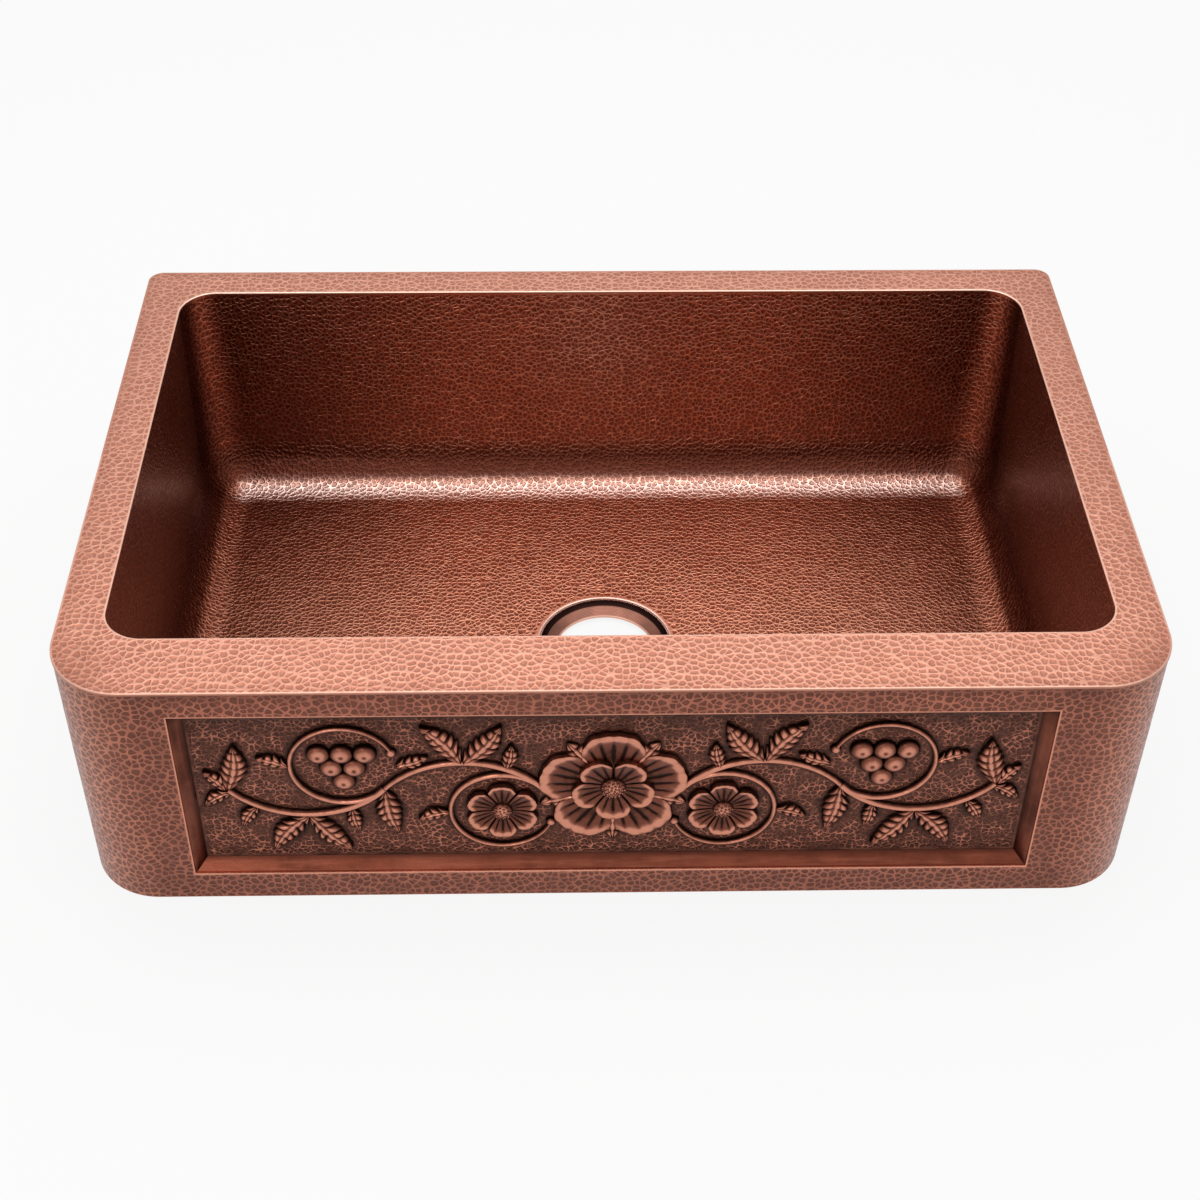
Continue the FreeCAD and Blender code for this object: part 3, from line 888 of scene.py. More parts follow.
def alongSkirt(x, y):
    # distance along the skirt's outline from the middle of the front, negative on the left
    away = np.abs(x)
    frontX, frontY = skirtHigh.x - skirt["front"], skirtLow.y + skirt["front"]
    backX, backY = skirtHigh.x - skirt["back"], skirtHigh.y - skirt["back"]
    quarter = math.pi / 2
    frontTurn = np.arctan2(away - frontX, frontY - y)
    backTurn = np.arctan2(y - backY, away - backX)
    sideStart = frontX + skirt["front"] * quarter
    backStart = sideStart + backY - frontY
    onFront = np.where(away < frontX, away, frontX + skirt["front"] * frontTurn)
    backCorner = backStart + skirt["back"] * backTurn
    onBack = np.where(away > backX, backCorner, backStart + skirt["back"] * quarter + backX - away)
    along = np.where(y < frontY, onFront, np.where(y < backY, sideStart + y - frontY, onBack))
    return np.sign(x) * along


def skirtInset(x, y):
    radius = np.where(np.asarray(y) < 0, skirt["front"], skirt["back"])
    return roundedDistance(np.asarray(x), np.asarray(y), skirtLow, skirtHigh, radius)


def facingOut(piece, centre, outward):
    # makes all faces point away from the centre in plan, or towards it
    edit(piece)
    alignNormals()
    leaveEdit()
    total = 0.0
    for face in piece.data.polygons:
        toFace = Vector((face.center.x - centre.x, face.center.y - centre.y, 0))
        total += face.normal.dot(toFace.normalized()) * face.area
    if (total > 0) != outward:
        flip(piece)


def makeSkirt():
    steps = (skirt["frontSteps"], skirt["backSteps"])
    band = roundedOutline("skirt", skirtLow, skirtHigh, (skirt["front"], skirt["back"]), steps, skirtLow.z)
    edit(band)
    selectAll()
    extrudeUp(skirt["windowLow"])
    extrudeUp(skirt["windowHigh"] - skirt["windowLow"])
    extrudeUp(skirtHigh.z - skirt["windowHigh"])
    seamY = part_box("apron_front")[1].y
    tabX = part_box("back_flange")[1].x
    half = skirt["windowHalf"]
    cutPlane((0, seamY, 0), (0, 1, 0))
    for x in (-tabX, -half, half, tabX):
        cutPlane((x, 0, 0), (1, 0, 0))

    def inWindow(f):
        at = centreOf(f)
        return at.y < 0 and abs(at.x) < half and skirt["windowLow"] < at.z < skirt["windowHigh"]

    choose(band, "FACE", inWindow)
    bpy.ops.mesh.delete(type="FACE")
    leaveEdit()
    facingOut(band, Vector((0, 0, 0)), True)

    def inFlange(f):
        return abs(centreOf(f).x) < tabX and centreOf(f).y > 0

    sheets = {
        "apron_front": separate(band, "apron_front", lambda f: centreOf(f).y < seamY),
        "back_flange": separate(band, "back_flange", inFlange),
        "side_skirt_left": separate(band, "side_skirt_left", lambda f: centreOf(f).x < 0),
    }
    sheets["side_skirt_right"] = band
    edit(sheets["back_flange"])
    cutPlane((0, 0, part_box("back_flange")[0].z), (0, 0, 1), clearInner=True)
    leaveEdit()
    for name, sheet in sheets.items():
        solidify(sheet, wallSheet, -1)
        edit(sheet)
        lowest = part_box(name)[0].z

        def onOutline(v):
            return abs(float(skirtInset(v.co.x, v.co.y))) < 0.0002

        def bottomEdge(e):
            return all(onOutline(v) and v.co.z < lowest + 1e-5 for v in e.verts)

        def windowEdge(e):
            if not all(onOutline(v) for v in e.verts) or middle(e).y > 0:
                return False
            low, high = skirt["windowLow"] - 1e-5, skirt["windowHigh"] + 1e-5
            if not all(abs(v.co.x) < half + 1e-5 and low < v.co.z < high for v in e.verts):
                return False
            sides = e.link_faces
            return len(sides) == 2 and abs(sides[0].normal.dot(sides[1].normal)) < 0.5

        divideStraights(sheet, 0, skirt["pitch"])
        divideStraights(sheet, 1, skirt["pitch"])
        divideHeights(sheet, skirt["pitch"], lambda e: all(onOutline(v) for v in e.verts))
        if choose(sheet, "EDGE", bottomEdge):
            bpy.ops.mesh.bevel(offset=skirt["edge"], segments=2, affect="EDGES")
        if name == "apron_front" and choose(sheet, "EDGE", windowEdge):
            bpy.ops.mesh.bevel(offset=skirt["windowEdge"], segments=2, affect="EDGES")
        leaveEdit()
        at = coordinates(sheet)
        x, y, z = at[:, 0], at[:, 1], at[:, 2]
        toEdge = np.minimum(skirtHigh.z - z, z - lowest)
        fromWindow = np.maximum.reduce([np.abs(x) - half, skirt["windowLow"] - z, z - skirt["windowHigh"]])
        toEdge = np.where(y < -0.2, np.minimum(toEdge, fromWindow), toEdge)
        dent = ease(toEdge, 0.0006, 0.0022) * (np.abs(skirtInset(x, y)) < 0.0003)
        # painted shade under the deck's edge and on both sides of each front corner; darker towards the
        # bottom
        clear = 1 - 0.45 * bell(skirtHigh.z - z, 0, 0.007) - 0.25 * bell(z - lowest, 0.010, 0.014)
        around = np.abs(alongSkirt(x, y))
        clear = clear - 0.20 * bell(around, 0.345, 0.016)
        # painted highlights: a thin bright line round the window and a bright band on each front corner
        paintedHighlight = np.where(y < -0.2, 0.9 * bell(fromWindow, 0.0003, 0.0009), 0)
        paintedHighlight = paintedHighlight + 0.35 * bell(around, 0.400, 0.030)
        beat(sheet, np.stack([alongSkirt(x, y), z, np.zeros(len(x))], 1), dent, clear, paintedHighlight)
        smooth(sheet)
        sheet.name = name + "_sheet"
        finished(sheet, "apron_copper", apronCopper, name)


makeSkirt()
print("skirt done")


# Bowl: four wall sheets above a pressed pan

bowl.update({"steps": 30, "pitch": 0.0016, "floorPitch": 0.0022, "backSteps": 12})
drain = {
    "mouth": 0.0585,
    "hole": 0.0445,
    "lip": 0.0600,
    "lipRings": ((0.9925, 0.00012), (0.9915, 0.00045), (0.9945, 0.0009)),
    "square": 0.070,
    "dish": 0.130,
    "dishFlat": 0.074,
    "ring": 64,
    "cuts": 15,
}


def cornerAt(z):
    share = np.clip((np.asarray(z) - coveTop) / (deckUnder - coveTop), 0, 1)
    return bowl["cornerLow"] + (bowl["cornerTop"] - bowl["cornerLow"]) * share


def bowlMaps(at):
    # flattens the bowl like a cross: a map for floor, front and back, one for the sides, and the turn between
    x, y, z = at[:, 0], at[:, 1], at[:, 2]
    corner = cornerAt(z)
    away, side = np.abs(x), np.sign(x)
    end = np.where(y > (bowlLow.y + bowlHigh.y) / 2, 1.0, -1.0)
    beyond = np.where(end > 0, y - (bowlHigh.y - corner), (bowlLow.y + corner) - y)
    across = away - (bowlHigh.x - corner)
    out = np.where(across > 0, np.where(beyond > 0, np.hypot(across, beyond), across), beyond)
    turned = np.arctan2(np.maximum(out, 0), bowl["cove"] - (z - floorTop))
    rise = np.where(z > coveTop, bowl["cove"] * math.pi / 2 + z - coveTop, bowl["cove"] * turned)
    edgeX = bowlHigh.x - bowl["cove"]
    edgeY = np.where(end > 0, bowlHigh.y - bowl["cove"], bowlLow.y + bowl["cove"])
    turn = np.arctan2(np.maximum(across, 0), np.maximum(beyond, 1e-9))
    spread = np.hypot(np.maximum(across, 0), np.maximum(beyond, 0))
    cornerX, cornerY = bowlHigh.x - corner, np.where(end > 0, bowlHigh.y - corner, bowlLow.y + corner)
    frontX = np.where((across > 0) & (beyond > 0), cornerX + spread * turn, away)
    frontY = edgeY + end * rise
    sideX = edgeX + rise
    sideY = np.where((across > 0) & (beyond > 0), cornerY + end * spread * (math.pi / 2 - turn), y)
    onFront = (beyond > 0) & (across <= 0)
    onSide = (across > 0) & (beyond <= 0)
    onFloor = (across <= 0) & (beyond <= 0)
    mapA = np.stack([side * frontX, frontY, np.zeros(len(x))], 1)
    mapB = np.stack([side * sideX, sideY, np.zeros(len(x))], 1)
    plain = np.stack([x, y, np.zeros(len(x))], 1)
    mapA = np.where(onFloor[:, None], plain, np.where(onSide[:, None], mapB, mapA))
    mapB = np.where(onFloor[:, None], plain, np.where(onFront[:, None], mapA, mapB))
    turn = np.where(onSide, 90.0, np.where(onFront | onFloor, 0.0, np.degrees(turn)))
    return mapA, mapB, turn


def bowlShadeAndHighlight(at, turn):
    # painted shade and painted highlight: clear is dark up the walls, at the ends and beside the corners,
    # with a lighter band on the upright corners; the highlight lies along the foot of the back wall
    x, y, z = np.abs(at[:, 0]), at[:, 1], at[:, 2]
    lean = np.degrees(np.arccos(np.clip(1 - (z - floorTop) / bowl["cove"], 0, 1)))
    ends = np.where(at[:, 0] < 0, ease(x, 0.10, 0.36), ease(x, 0.13, 0.43))
    onWall = z > coveTop
    # painted shade: the floor darker towards the back and the ends, the upper cove and the walls dark
    floor = 1 - 0.22 * ease(y, 0.02, 0.19) - 0.60 * ends
    cove = floor + (1 - 0.42 * ends - floor) * ease(lean, 0, 18)
    cove = cove - cove * ease(lean, 28, 40)
    wall = 0.66 - 0.42 * ends
    # painted highlight and shade on the upright corners: a lighter band, then a darker one
    corner = np.minimum(bowlHigh.x - x, bowlHigh.y - y) < 0.05
    band = np.where(corner, 0.42 * bell(turn, 34, 15) * (turn > 1) - 0.35 * bell(turn, 72, 14), 0)
    wall = np.where(turn > 89, 0.34, wall) + band
    clear = cove + (wall - cove) * ease(lean, 60, 88)
    clear = np.where(onWall, wall, clear)
    # painted highlight along the foot of the back wall
    backCove = bowlHigh.y - bowl["cove"]
    back = ease(y, backCove - 0.003, backCove + 0.003) * (1 - ease(x, 0.345, 0.362))
    paintedHighlight = 0.95 * bell(lean, 17, 13) * back * (lean > 0.5)
    return np.clip(clear, 0, 1), paintedHighlight


def wallInset(v):
    return float(roundedDistance(np.asarray(v.co.x), np.asarray(v.co.y), bowlLow, bowlHigh, cornerAt(v.co.z)))


def makeWalls():
    steps = (bowl["steps"], bowl["steps"])
    upper = roundedOutline("walls", bowlLow, bowlHigh, (bowl["cornerTop"],) * 2, steps, deckUnder)
    lower = roundedOutline("walls_low", bowlLow, bowlHigh, (bowl["cornerLow"],) * 2, steps, coveTop)
    joined(upper, lower)
    edit(upper)
    selectAll()
    bpy.ops.mesh.bridge_edge_loops()
    seam = bowlHigh.x - bowl["seam"]
    for x in (-seam, seam):
        cutPlane((x, 0, 0), (1, 0, 0))
    leaveEdit()
    facingOut(upper, Vector((0, 0, 0)), False)

    def inFront(f):
        return abs(centreOf(f).x) < seam and centreOf(f).y < 0

    walls = {
        "bowl_wall_front": separate(upper, "bowl_wall_front", inFront),
        "bowl_wall_back": separate(upper, "bowl_wall_back", lambda f: abs(centreOf(f).x) < seam),
        "bowl_wall_left": separate(upper, "bowl_wall_left", lambda f: centreOf(f).x < 0),
    }
    walls["bowl_wall_right"] = upper
    for name, wall in walls.items():
        solidify(wall, wallSheet, -1)
        edit(wall)
        for axis, least in ((0, 0.012), (1, 0.1)):
            # the straight stretches grow shorter downwards, so top and bottom get the same number of cuts
            lengths = [abs(span(e)[axis]) for e in bmesh.from_edit_mesh(wall.data).edges]
            divide(wall, cutsFor(max(lengths), bowl["pitch"]), lambda e: abs(span(e)[axis]) > least)
        divideHeights(wall, bowl["pitch"], lambda e: all(abs(wallInset(v)) < 0.0003 for v in e.verts))
        leaveEdit()
        at = coordinates(wall)
        inset = roundedDistance(at[:, 0], at[:, 1], bowlLow, bowlHigh, cornerAt(at[:, 2]))
        dent = ease(deckUnder - at[:, 2], 0.0004, 0.0030) * (np.abs(inset) < 0.0004)
        mapA, mapB, turn = bowlMaps(at)
        beat(wall, mapA, dent, *bowlShadeAndHighlight(at, turn), mapB, ease(turn, 25, 65), bowlNodes)
        smooth(wall)
        wall.name = name + "_sheet"
        finished(wall, "bowl_copper", bowlCopper, name)


def panShell(name, grow, steps):
    # the pan's inner or outer face: a box with its lower and upright edges rounded, open at the coves' top
    startFresh()
    low, high = bowlLow - Vector((grow, grow, 0)), bowlHigh + Vector((grow, grow, 0))
    base, top = floorTop - grow, coveTop + 0.02
    centre = ((low.x + high.x) / 2, (low.y + high.y) / 2, (base + top) / 2)
    bpy.ops.mesh.primitive_cube_add(size=1, location=centre)
    shell = bpy.context.object
    shell.name = name
    shell.scale = (high.x - low.x, high.y - low.y, top - base)
    settle(shell)
    edit(shell)
    choose(shell, "EDGE", lambda e: middle(e).z < base + 1e-6 or abs(span(e).z) > 0.01)
    bpy.ops.mesh.bevel(offset=bowl["cove"] + grow, segments=steps, affect="EDGES", clamp_overlap=False)
    cutPlane((0, 0, coveTop), (0, 0, 1), clearOuter=True)
    leaveEdit()
    return shell


def ringStep(factor, drop):
    # carries the selected loop on: extruded down by drop and drawn in by a factor
    bpy.ops.mesh.extrude_region_move(TRANSFORM_OT_translate={"value": (0, 0, -drop)})
    bpy.ops.transform.resize(value=(factor, factor, 1), center_override=(0, 0, 0))


def dishDepth(radius):
    share = np.clip((drain["dish"] - radius) / (drain["dish"] - drain["dishFlat"]), 0, 1)
    return (floorTop - floorLow) * share


def makePan():
    pan = panShell("pan", 0, bowl["steps"])
    edit(pan)
    divideStraights(pan, 0, bowl["floorPitch"], 0.2)
    divideStraights(pan, 1, bowl["floorPitch"], 0.2)
    square = drain["square"]
    flat = floorTop + 1e-5

    def nearDrain(point, reach):
        return max(abs(point.x), abs(point.y)) < reach

    def overDrain(f):
        return centreOf(f).z < flat and nearDrain(centreOf(f), square)

    choose(pan, "FACE", overDrain)
    bpy.ops.mesh.delete(type="FACE")

    def squareEdge(e):
        return len(e.link_faces) == 1 and middle(e).z < flat and nearDrain(middle(e), square * 1.1)

    count = choose(pan, "EDGE", squareEdge)
    bpy.ops.mesh.primitive_circle_add(vertices=count, radius=drain["lip"], location=(0, 0, floorLow))
    for factor, drop in drain["lipRings"]:
        ringStep(factor, drop)

    def toBridge(e):
        top = middle(e).z > floorLow - 1e-5 and len(e.link_faces) == 1
        return top and nearDrain(middle(e), square * 1.1)

    choose(pan, "EDGE", toBridge)
    bpy.ops.mesh.bridge_edge_loops(number_cuts=drain["cuts"], interpolation="LINEAR")
    alignNormals(inside=True)
    leaveEdit()
    at = coordinates(pan)
    radius = np.hypot(at[:, 0], at[:, 1])
    onFloor = (at[:, 2] < floorTop + 1e-5) & (radius > drain["lip"] - 1e-5)
    at[onFloor, 2] = floorTop - dishDepth(radius[onFloor])
    moveVertices(pan, at)
    if upwardArea(pan) < 0:
        flip(pan)

    under = panShell("pan_under", wallSheet, bowl["backSteps"])
    edit(under)
    for place in (-square, square):
        cutPlane((place, 0, 0), (1, 0, 0))
        cutPlane((0, place, 0), (0, 1, 0))

    def underDrain(f):
        return centreOf(f).z < floorTop and f.normal.z < -0.9 and nearDrain(centreOf(f), 0.01)

    choose(under, "FACE", underDrain)
    bpy.ops.mesh.delete(type="FACE")
    level = floorTop - wallSheet + 1e-5
    divide(under, drain["ring"] // 4 - 1, lambda e: len(e.link_faces) == 1 and middle(e).z < level)
    centre = (0, 0, floorLow - wallSheet)
    bpy.ops.mesh.primitive_circle_add(vertices=drain["ring"], radius=drain["mouth"], location=centre)
    choose(under, "EDGE", lambda e: len(e.link_faces) < 2 and middle(e).z < level)
    bpy.ops.mesh.bridge_edge_loops()
    choose(under, "EDGE", lambda e: len(e.link_faces) == 1 and middle(e).z > coveTop - 1e-5)
    bpy.ops.mesh.extrude_region_move(TRANSFORM_OT_translate={"value": (0, 0, 0)})
    centre = (bowlLow + bowlHigh) / 2
    grown = (bowlHigh.x - bowlLow.x + 2 * wallSheet, bowlHigh.y - bowlLow.y + 2 * wallSheet)
    factors = (1 - 2 * wallSheet / grown[0], 1 - 2 * wallSheet / grown[1], 1)
    bpy.ops.transform.resize(value=factors, center_override=(centre.x, centre.y, coveTop))
    alignNormals()
    leaveEdit()
    at = coordinates(under)
    radius = np.hypot(at[:, 0], at[:, 1])
    onFloor = (at[:, 2] < level) & (radius > drain["mouth"] + 1e-4)
    at[onFloor, 2] = level - dishDepth(radius[onFloor])
    moveVertices(under, at)
    if upwardArea(under) > 0:
        flip(under)

    innerCount = len(pan.data.vertices)
    joined(pan, under)
    at = coordinates(pan)
    radius = np.hypot(at[:, 0], at[:, 1])
    dent = ease(radius, drain["lip"] + 0.0010, drain["lip"] + 0.0060)
    dent[innerCount:] = 0
    mapA, mapB, turn = bowlMaps(at)
    clear, paintedHighlight = bowlShadeAndHighlight(at, turn)
    # painted highlight on the rolled lip round the drain
    paintedHighlight = np.maximum(paintedHighlight, 0.6 * bell(radius, 0.0592, 0.0014))
    beat(pan, mapA, dent, clear, paintedHighlight, mapB, ease(turn, 25, 65), bowlNodes)
    smooth(pan)
    pan.name = "bowl_floor_sheet"
    finished(pan, "bowl_copper", bowlCopper, "bowl_floor")


makeWalls()
makePan()
print("bowl done")


# Drain seat: a spun ring under the mouth

seat = {"turns": 144, "flange": 0.0665, "under": 0.0465}


def makeSeat():
    startFresh()
    flangeTop = floorLow - wallSheet
    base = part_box("drain_seat")[0].z
    centre = (0, 0, flangeTop)
    bpy.ops.mesh.primitive_circle_add(vertices=seat["turns"], radius=seat["flange"], location=centre)
    ring = bpy.context.object
    ring.name = "drain_seat_ring"
    settle(ring)
    profile = [
        (0.0590, flangeTop),
        (0.0583, flangeTop - 0.0003),
        (0.0577, flangeTop - 0.0010),
        (0.0550, flangeTop - 0.0027),
        (0.0536, flangeTop - 0.0034),
        (0.0524, flangeTop - 0.0040),
        (0.0462, flangeTop - 0.0071),
        (0.0450, flangeTop - 0.0077),
        (0.0446, flangeTop - 0.0081),
        (drain["hole"], flangeTop - 0.0086),
        (drain["hole"], base + 0.0003),
        (drain["hole"] + 0.0003, base),
        (seat["under"], base),
        (0.0595, flangeTop - 0.0020),
        (seat["flange"], flangeTop - 0.0020),
    ]
    edit(ring)
    selectAll()
    lastRadius, lastHeight = seat["flange"], flangeTop
    for radius, height in profile:
        ringStep(radius / lastRadius, lastHeight - height)
        lastRadius, lastHeight = radius, height
    choose(ring, "EDGE", lambda e: len(e.link_faces) == 1)
    bpy.ops.mesh.bridge_edge_loops()
    alignNormals()
    leaveEdit()
    smooth(ring, 30)
    finished(ring, "smooth_copper", seatCopper, "drain_seat")


makeSeat()
print("drain seat done")


# Relief: a chased ground, with petals, leaves, stems and berries raised on it

chasing = {
    "cell": 0.0046,
    "randomness": 1.0,
    "round": 0.20,
    "depth": 0.00042,
    "flatFrom": 0.30,
    "tilt": 0.0002,
    "wobble": 0.55,
    "wobbleScale": 1.0,
    "mesh": 0.6,
    "line": 0.11,
}
chasedCopper = hammeredMaterial("chasedCopper", finishes["ground"], chasing)
panelLow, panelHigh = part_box("relief_panel")
field = {
    "face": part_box("reveal_top")[1].y,
    "middle": (panelLow.z + panelHigh.z) / 2,
    "halfWidth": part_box("reveal_right")[0].x,
    "halfHeight": (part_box("reveal_top")[0].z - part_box("reveal_bottom")[1].z) / 2,
    "pitch": 0.0012,
    "groove": 0.0005,
    "grooveWidth": 0.0050,
    "foot": -0.0008,
}


def sculpted(name, along, across, shape):
    # a flat grid whose points are moved: s runs along it from 0 to 1, t across it from -1 to 1
    startFresh()
    bpy.ops.mesh.primitive_grid_add(x_subdivisions=along, y_subdivisions=across, size=2)
    piece = bpy.context.object
    piece.name = piece.data.name = name
    at = coordinates(piece)
    x, y, z, rubAndShade = shape((at[:, 0] + 1) / 2, at[:, 1])
    piece.data.vertices.foreach_set("co", np.stack([x, y, z], 1).ravel())
    store(piece, "rubAndShade", rubAndShade)
    return piece


def leafShape(length, width, height, lobes, bend):
    def shape(s, t):
        away = np.abs(t)
        saw = lobes * s % 1.0
        body = np.sin(np.pi * np.clip(s, 0.012, 0.988) ** 0.72) ** 0.8
        half = width / 2 * body * (1 - 0.30 * (1 - saw) * np.sqrt(1 - s))
        x = length * (s + 0.16 * away * (1 - s) * body)
        y = half * t + bend * length * np.sin(np.pi * s)
        slit = bell(np.minimum(saw, 1 - saw), 0, 0.14) * ease(away, 0.12, 0.40) * ease(s, 0.02, 0.12)
        furrow = bell(away, 0.24, 0.09)
        lobed = 0.80 + 0.20 * np.sin(np.pi * saw)
        crown = (1 - away**4) * lobed * (0.60 + 0.40 * np.sin(np.pi * (0.12 + 0.76 * s)))
        z = height * crown - 0.0011 * slit - 0.0007 * furrow + 0.0006 * bell(t, 0, 0.10) * (1 - s)
        # patina and painted shade: darker low down and in the slits and furrows, bright on top
        rubAndShade = np.clip(z / height, 0, 1) * (1 - 0.8 * slit) * (1 - 0.55 * furrow)
        rim = (away > 0.999) | (s < 0.001) | (s > 0.999)
        return x, y, np.where(rim, field["foot"], z), np.where(rim, 0, rubAndShade)

    return shape


def petalShape(start, valley, reach, spread, height, creases):
    def shape(s, t):
        outline = valley + (reach - valley) * np.sqrt(np.clip(1 - t**2, 0, 1))
        outline = outline * (1 - 0.035 * bell(t, 0, 0.10) + 0.012 * np.cos(13 * t))
        radius = start + (outline - start) * s
        angle = math.radians(spread) * t
        crease = bell(np.abs((creases * t + 0.5) % 1.0 - 0.5), 0, 0.16)
        crease = crease * ease(s, 0.05, 0.35) * (1 - 0.75 * ease(s, 0.55, 0.95))
        hollow = 0.24 * bell(t, 0, 0.5) * np.sin(np.pi * np.clip(s, 0, 1)) + 0.30 * np.abs(t) ** 6
        lip = bell(s, 0.86, 0.08) * (1 - np.abs(t) ** 4)
        z = height * (0.30 + 0.70 * s**1.2) * (1 - hollow) + 0.0007 * lip - 0.0006 * crease
        # patina and painted shade: darker in the creases and hollows, bright on the lip
        rubAndShade = np.clip(0.25 + 0.55 * s + 0.45 * lip - 0.55 * crease - 0.8 * hollow, 0, 1)
        rim = (np.abs(t) > 0.999) | (s > 0.999)
        x, y = radius * np.cos(angle), radius * np.sin(angle)
        return x, y, np.where(rim, field["foot"], z), np.where(rim, 0, rubAndShade)

    return shape


def stemShape(centre, radius, start, sweep, width, height, taper):
    def shape(s, t):
        angle = np.radians(start + sweep * s)
        half = width / 2 * (1 - taper * s)
        out = radius - math.copysign(1, sweep) * half * t
        z = height * (1 - 0.4 * taper * s) * np.sqrt(np.clip(1 - t**2, 0, 1))
        z = z - 0.0004 * bell(np.abs(t), 0.5, 0.12)
        rim = np.abs(t) > 0.999
        # patina and painted shade: darker towards the sides, bright on top
        rubAndShade = np.clip(z / height, 0, 1)
        x, y = centre[0] + out * np.cos(angle), centre[1] + out * np.sin(angle)
        return x, y, np.where(rim, field["foot"], z), np.where(rim, 0, rubAndShade)

    return shape


def dome(name, radius, height, turns):
    # the upper part of a flattened ball, cut off a little under the ground
    startFresh()
    bpy.ops.mesh.primitive_uv_sphere_add(segments=turns, ring_count=turns // 2, radius=radius)
    piece = bpy.context.object
    piece.name = piece.data.name = name
    piece.scale = (1, 1, height / radius)
    settle(piece)
    edit(piece)
    cutPlane((0, 0, field["foot"]), (0, 0, 1), clearInner=True)
    leaveEdit()
    # patina and painted shade: darker towards the foot
    store(piece, "rubAndShade", np.clip(coordinates(piece)[:, 2] / height, 0, 1) ** 1.6)
    return piece


def copyOf(piece, place=(0, 0), angle=0.0, mirror=False):
    other = piece.copy()
    other.data = piece.data.copy()
    bpy.context.scene.collection.objects.link(other)
    other.location = (place[0], place[1], 0)
    other.rotation_euler = (0, 0, math.radians(angle))
    if mirror:
        other.scale = (-1, 1, 1)
    settle(other)
    if upwardArea(other) < 0:
        flip(other)
    return other


def remove(*pieces):
    for piece in pieces:
        bpy.data.objects.remove(piece)


def gathered(name, pieces):
    # joins the pieces of one kind with their mirror images
    group = joined(*pieces) if len(pieces) > 1 else pieces[0]
    both = joined(group, copyOf(group, mirror=True))
    both.name = both.data.name = name
    return both


goldenAngle = 137.508


def beaded(dressed, radius, height, count, bead):
    # beads on a dome, each a golden angle on from the last
    seed = dome("bead", bead, bead, 8)
    beads = []
    for index in range(count):
        out = radius * 0.86 * math.sqrt((index + 0.5) / count)
        turn = index * goldenAngle
        place = (out * math.cos(math.radians(turn)), out * math.sin(math.radians(turn)))
        one = copyOf(seed, place)
        one.location.z = height * math.sqrt(1 - (out / radius) ** 2) - bead * 0.2
        settle(one)
        beads.append(one)
    remove(seed)
    return joined(dressed, *beads)


def flower(name, petal, count, start):
    petals = [copyOf(petal, angle=start + 360 * index / count) for index in range(count)]
    remove(petal)
    bloom = joined(*petals)
    bloom.name = bloom.data.name = name
    return bloom


rose = {
    "outer": {
        "start": 0.020,
        "valley": 0.036,
        "reach": 0.060,
        "spread": 36,
        "height": 0.0036,
        "creases": 3.0,
    },
    "inner": {
        "start": 0.006,
        "valley": 0.020,
        "reach": 0.034,
        "spread": 36,
        "height": 0.0056,
        "creases": 2.0,
    },
    "sepal": {"length": 0.030, "width": 0.020, "height": 0.0024, "lobes": 3, "bend": 0.0},
    "sepalFrom": 0.030,
    "petals": 5,
    "boss": 0.0105,
    "bossHeight": 0.0070,
}
vine = {
    "bays": ((0.115, 1), (0.235, -1)),
    "halfWave": 0.060,
    "rise": 0.028,
    "stem": {"width": 0.007, "height": 0.0034, "taper": 0.25},
    "scroll": {"radius": 0.040, "sweep": 300, "width": 0.006, "height": 0.0034, "taper": 0.45},
    "leaf": {"length": 0.050, "width": 0.024, "height": 0.0046, "lobes": 6, "bend": 0.06},
    "small": {"length": 0.027, "width": 0.015, "height": 0.0036, "lobes": 4, "bend": 0.05},
    "sprigs": (
        (0.0819, 0.0207, 100),
        (0.1257, -0.0257, -20),
        (0.1657, 0.0257, 160),
        (0.2457, 0.0257, 20),
        (0.2019, -0.0207, -100),
        (0.2742, -0.0175, -60),
        (0.2950, 0.0, 50),
        (0.2930, -0.001, -35),
    ),
    "leafTurn": 38,
    "spurTurn": 100,
    "bloom": {
        "start": 0.006,
        "valley": 0.020,
        "reach": 0.030,
        "spread": 30,
        "height": 0.0038,
        "creases": 2.0,
    },
    "bloomBoss": 0.0085,
    "berry": {"radius": 0.0094, "height": 0.0054, "pitch": 0.0175, "rowPitch": 0.0145, "top": 0.0125},
}


def makeRose():
    petal = sculpted("petal", 26, 44, petalShape(**rose["outer"]))
    outer = flower("rose_outer", petal, rose["petals"], 90)
    petal = sculpted("petal", 22, 32, petalShape(**rose["inner"]))
    inner = flower("rose_inner", petal, rose["petals"], 126)
    sepal = sculpted("sepal", 36, 16, leafShape(**rose["sepal"]))
    sepals = []
    for index in range(rose["petals"]):
        turn = 126 + 360 / rose["petals"] * index
        place = [rose["sepalFrom"] * f(math.radians(turn)) for f in (math.cos, math.sin)]
        sepals.append(copyOf(sepal, place, turn))
    remove(sepal)
    boss = dome("boss", rose["boss"], rose["bossHeight"], 32)
    boss = beaded(boss, rose["boss"], rose["bossHeight"], 36, 0.0012)
    whole = joined(outer, inner, boss, *sepals)
    whole.name = whole.data.name = "relief_rose"
    return whole


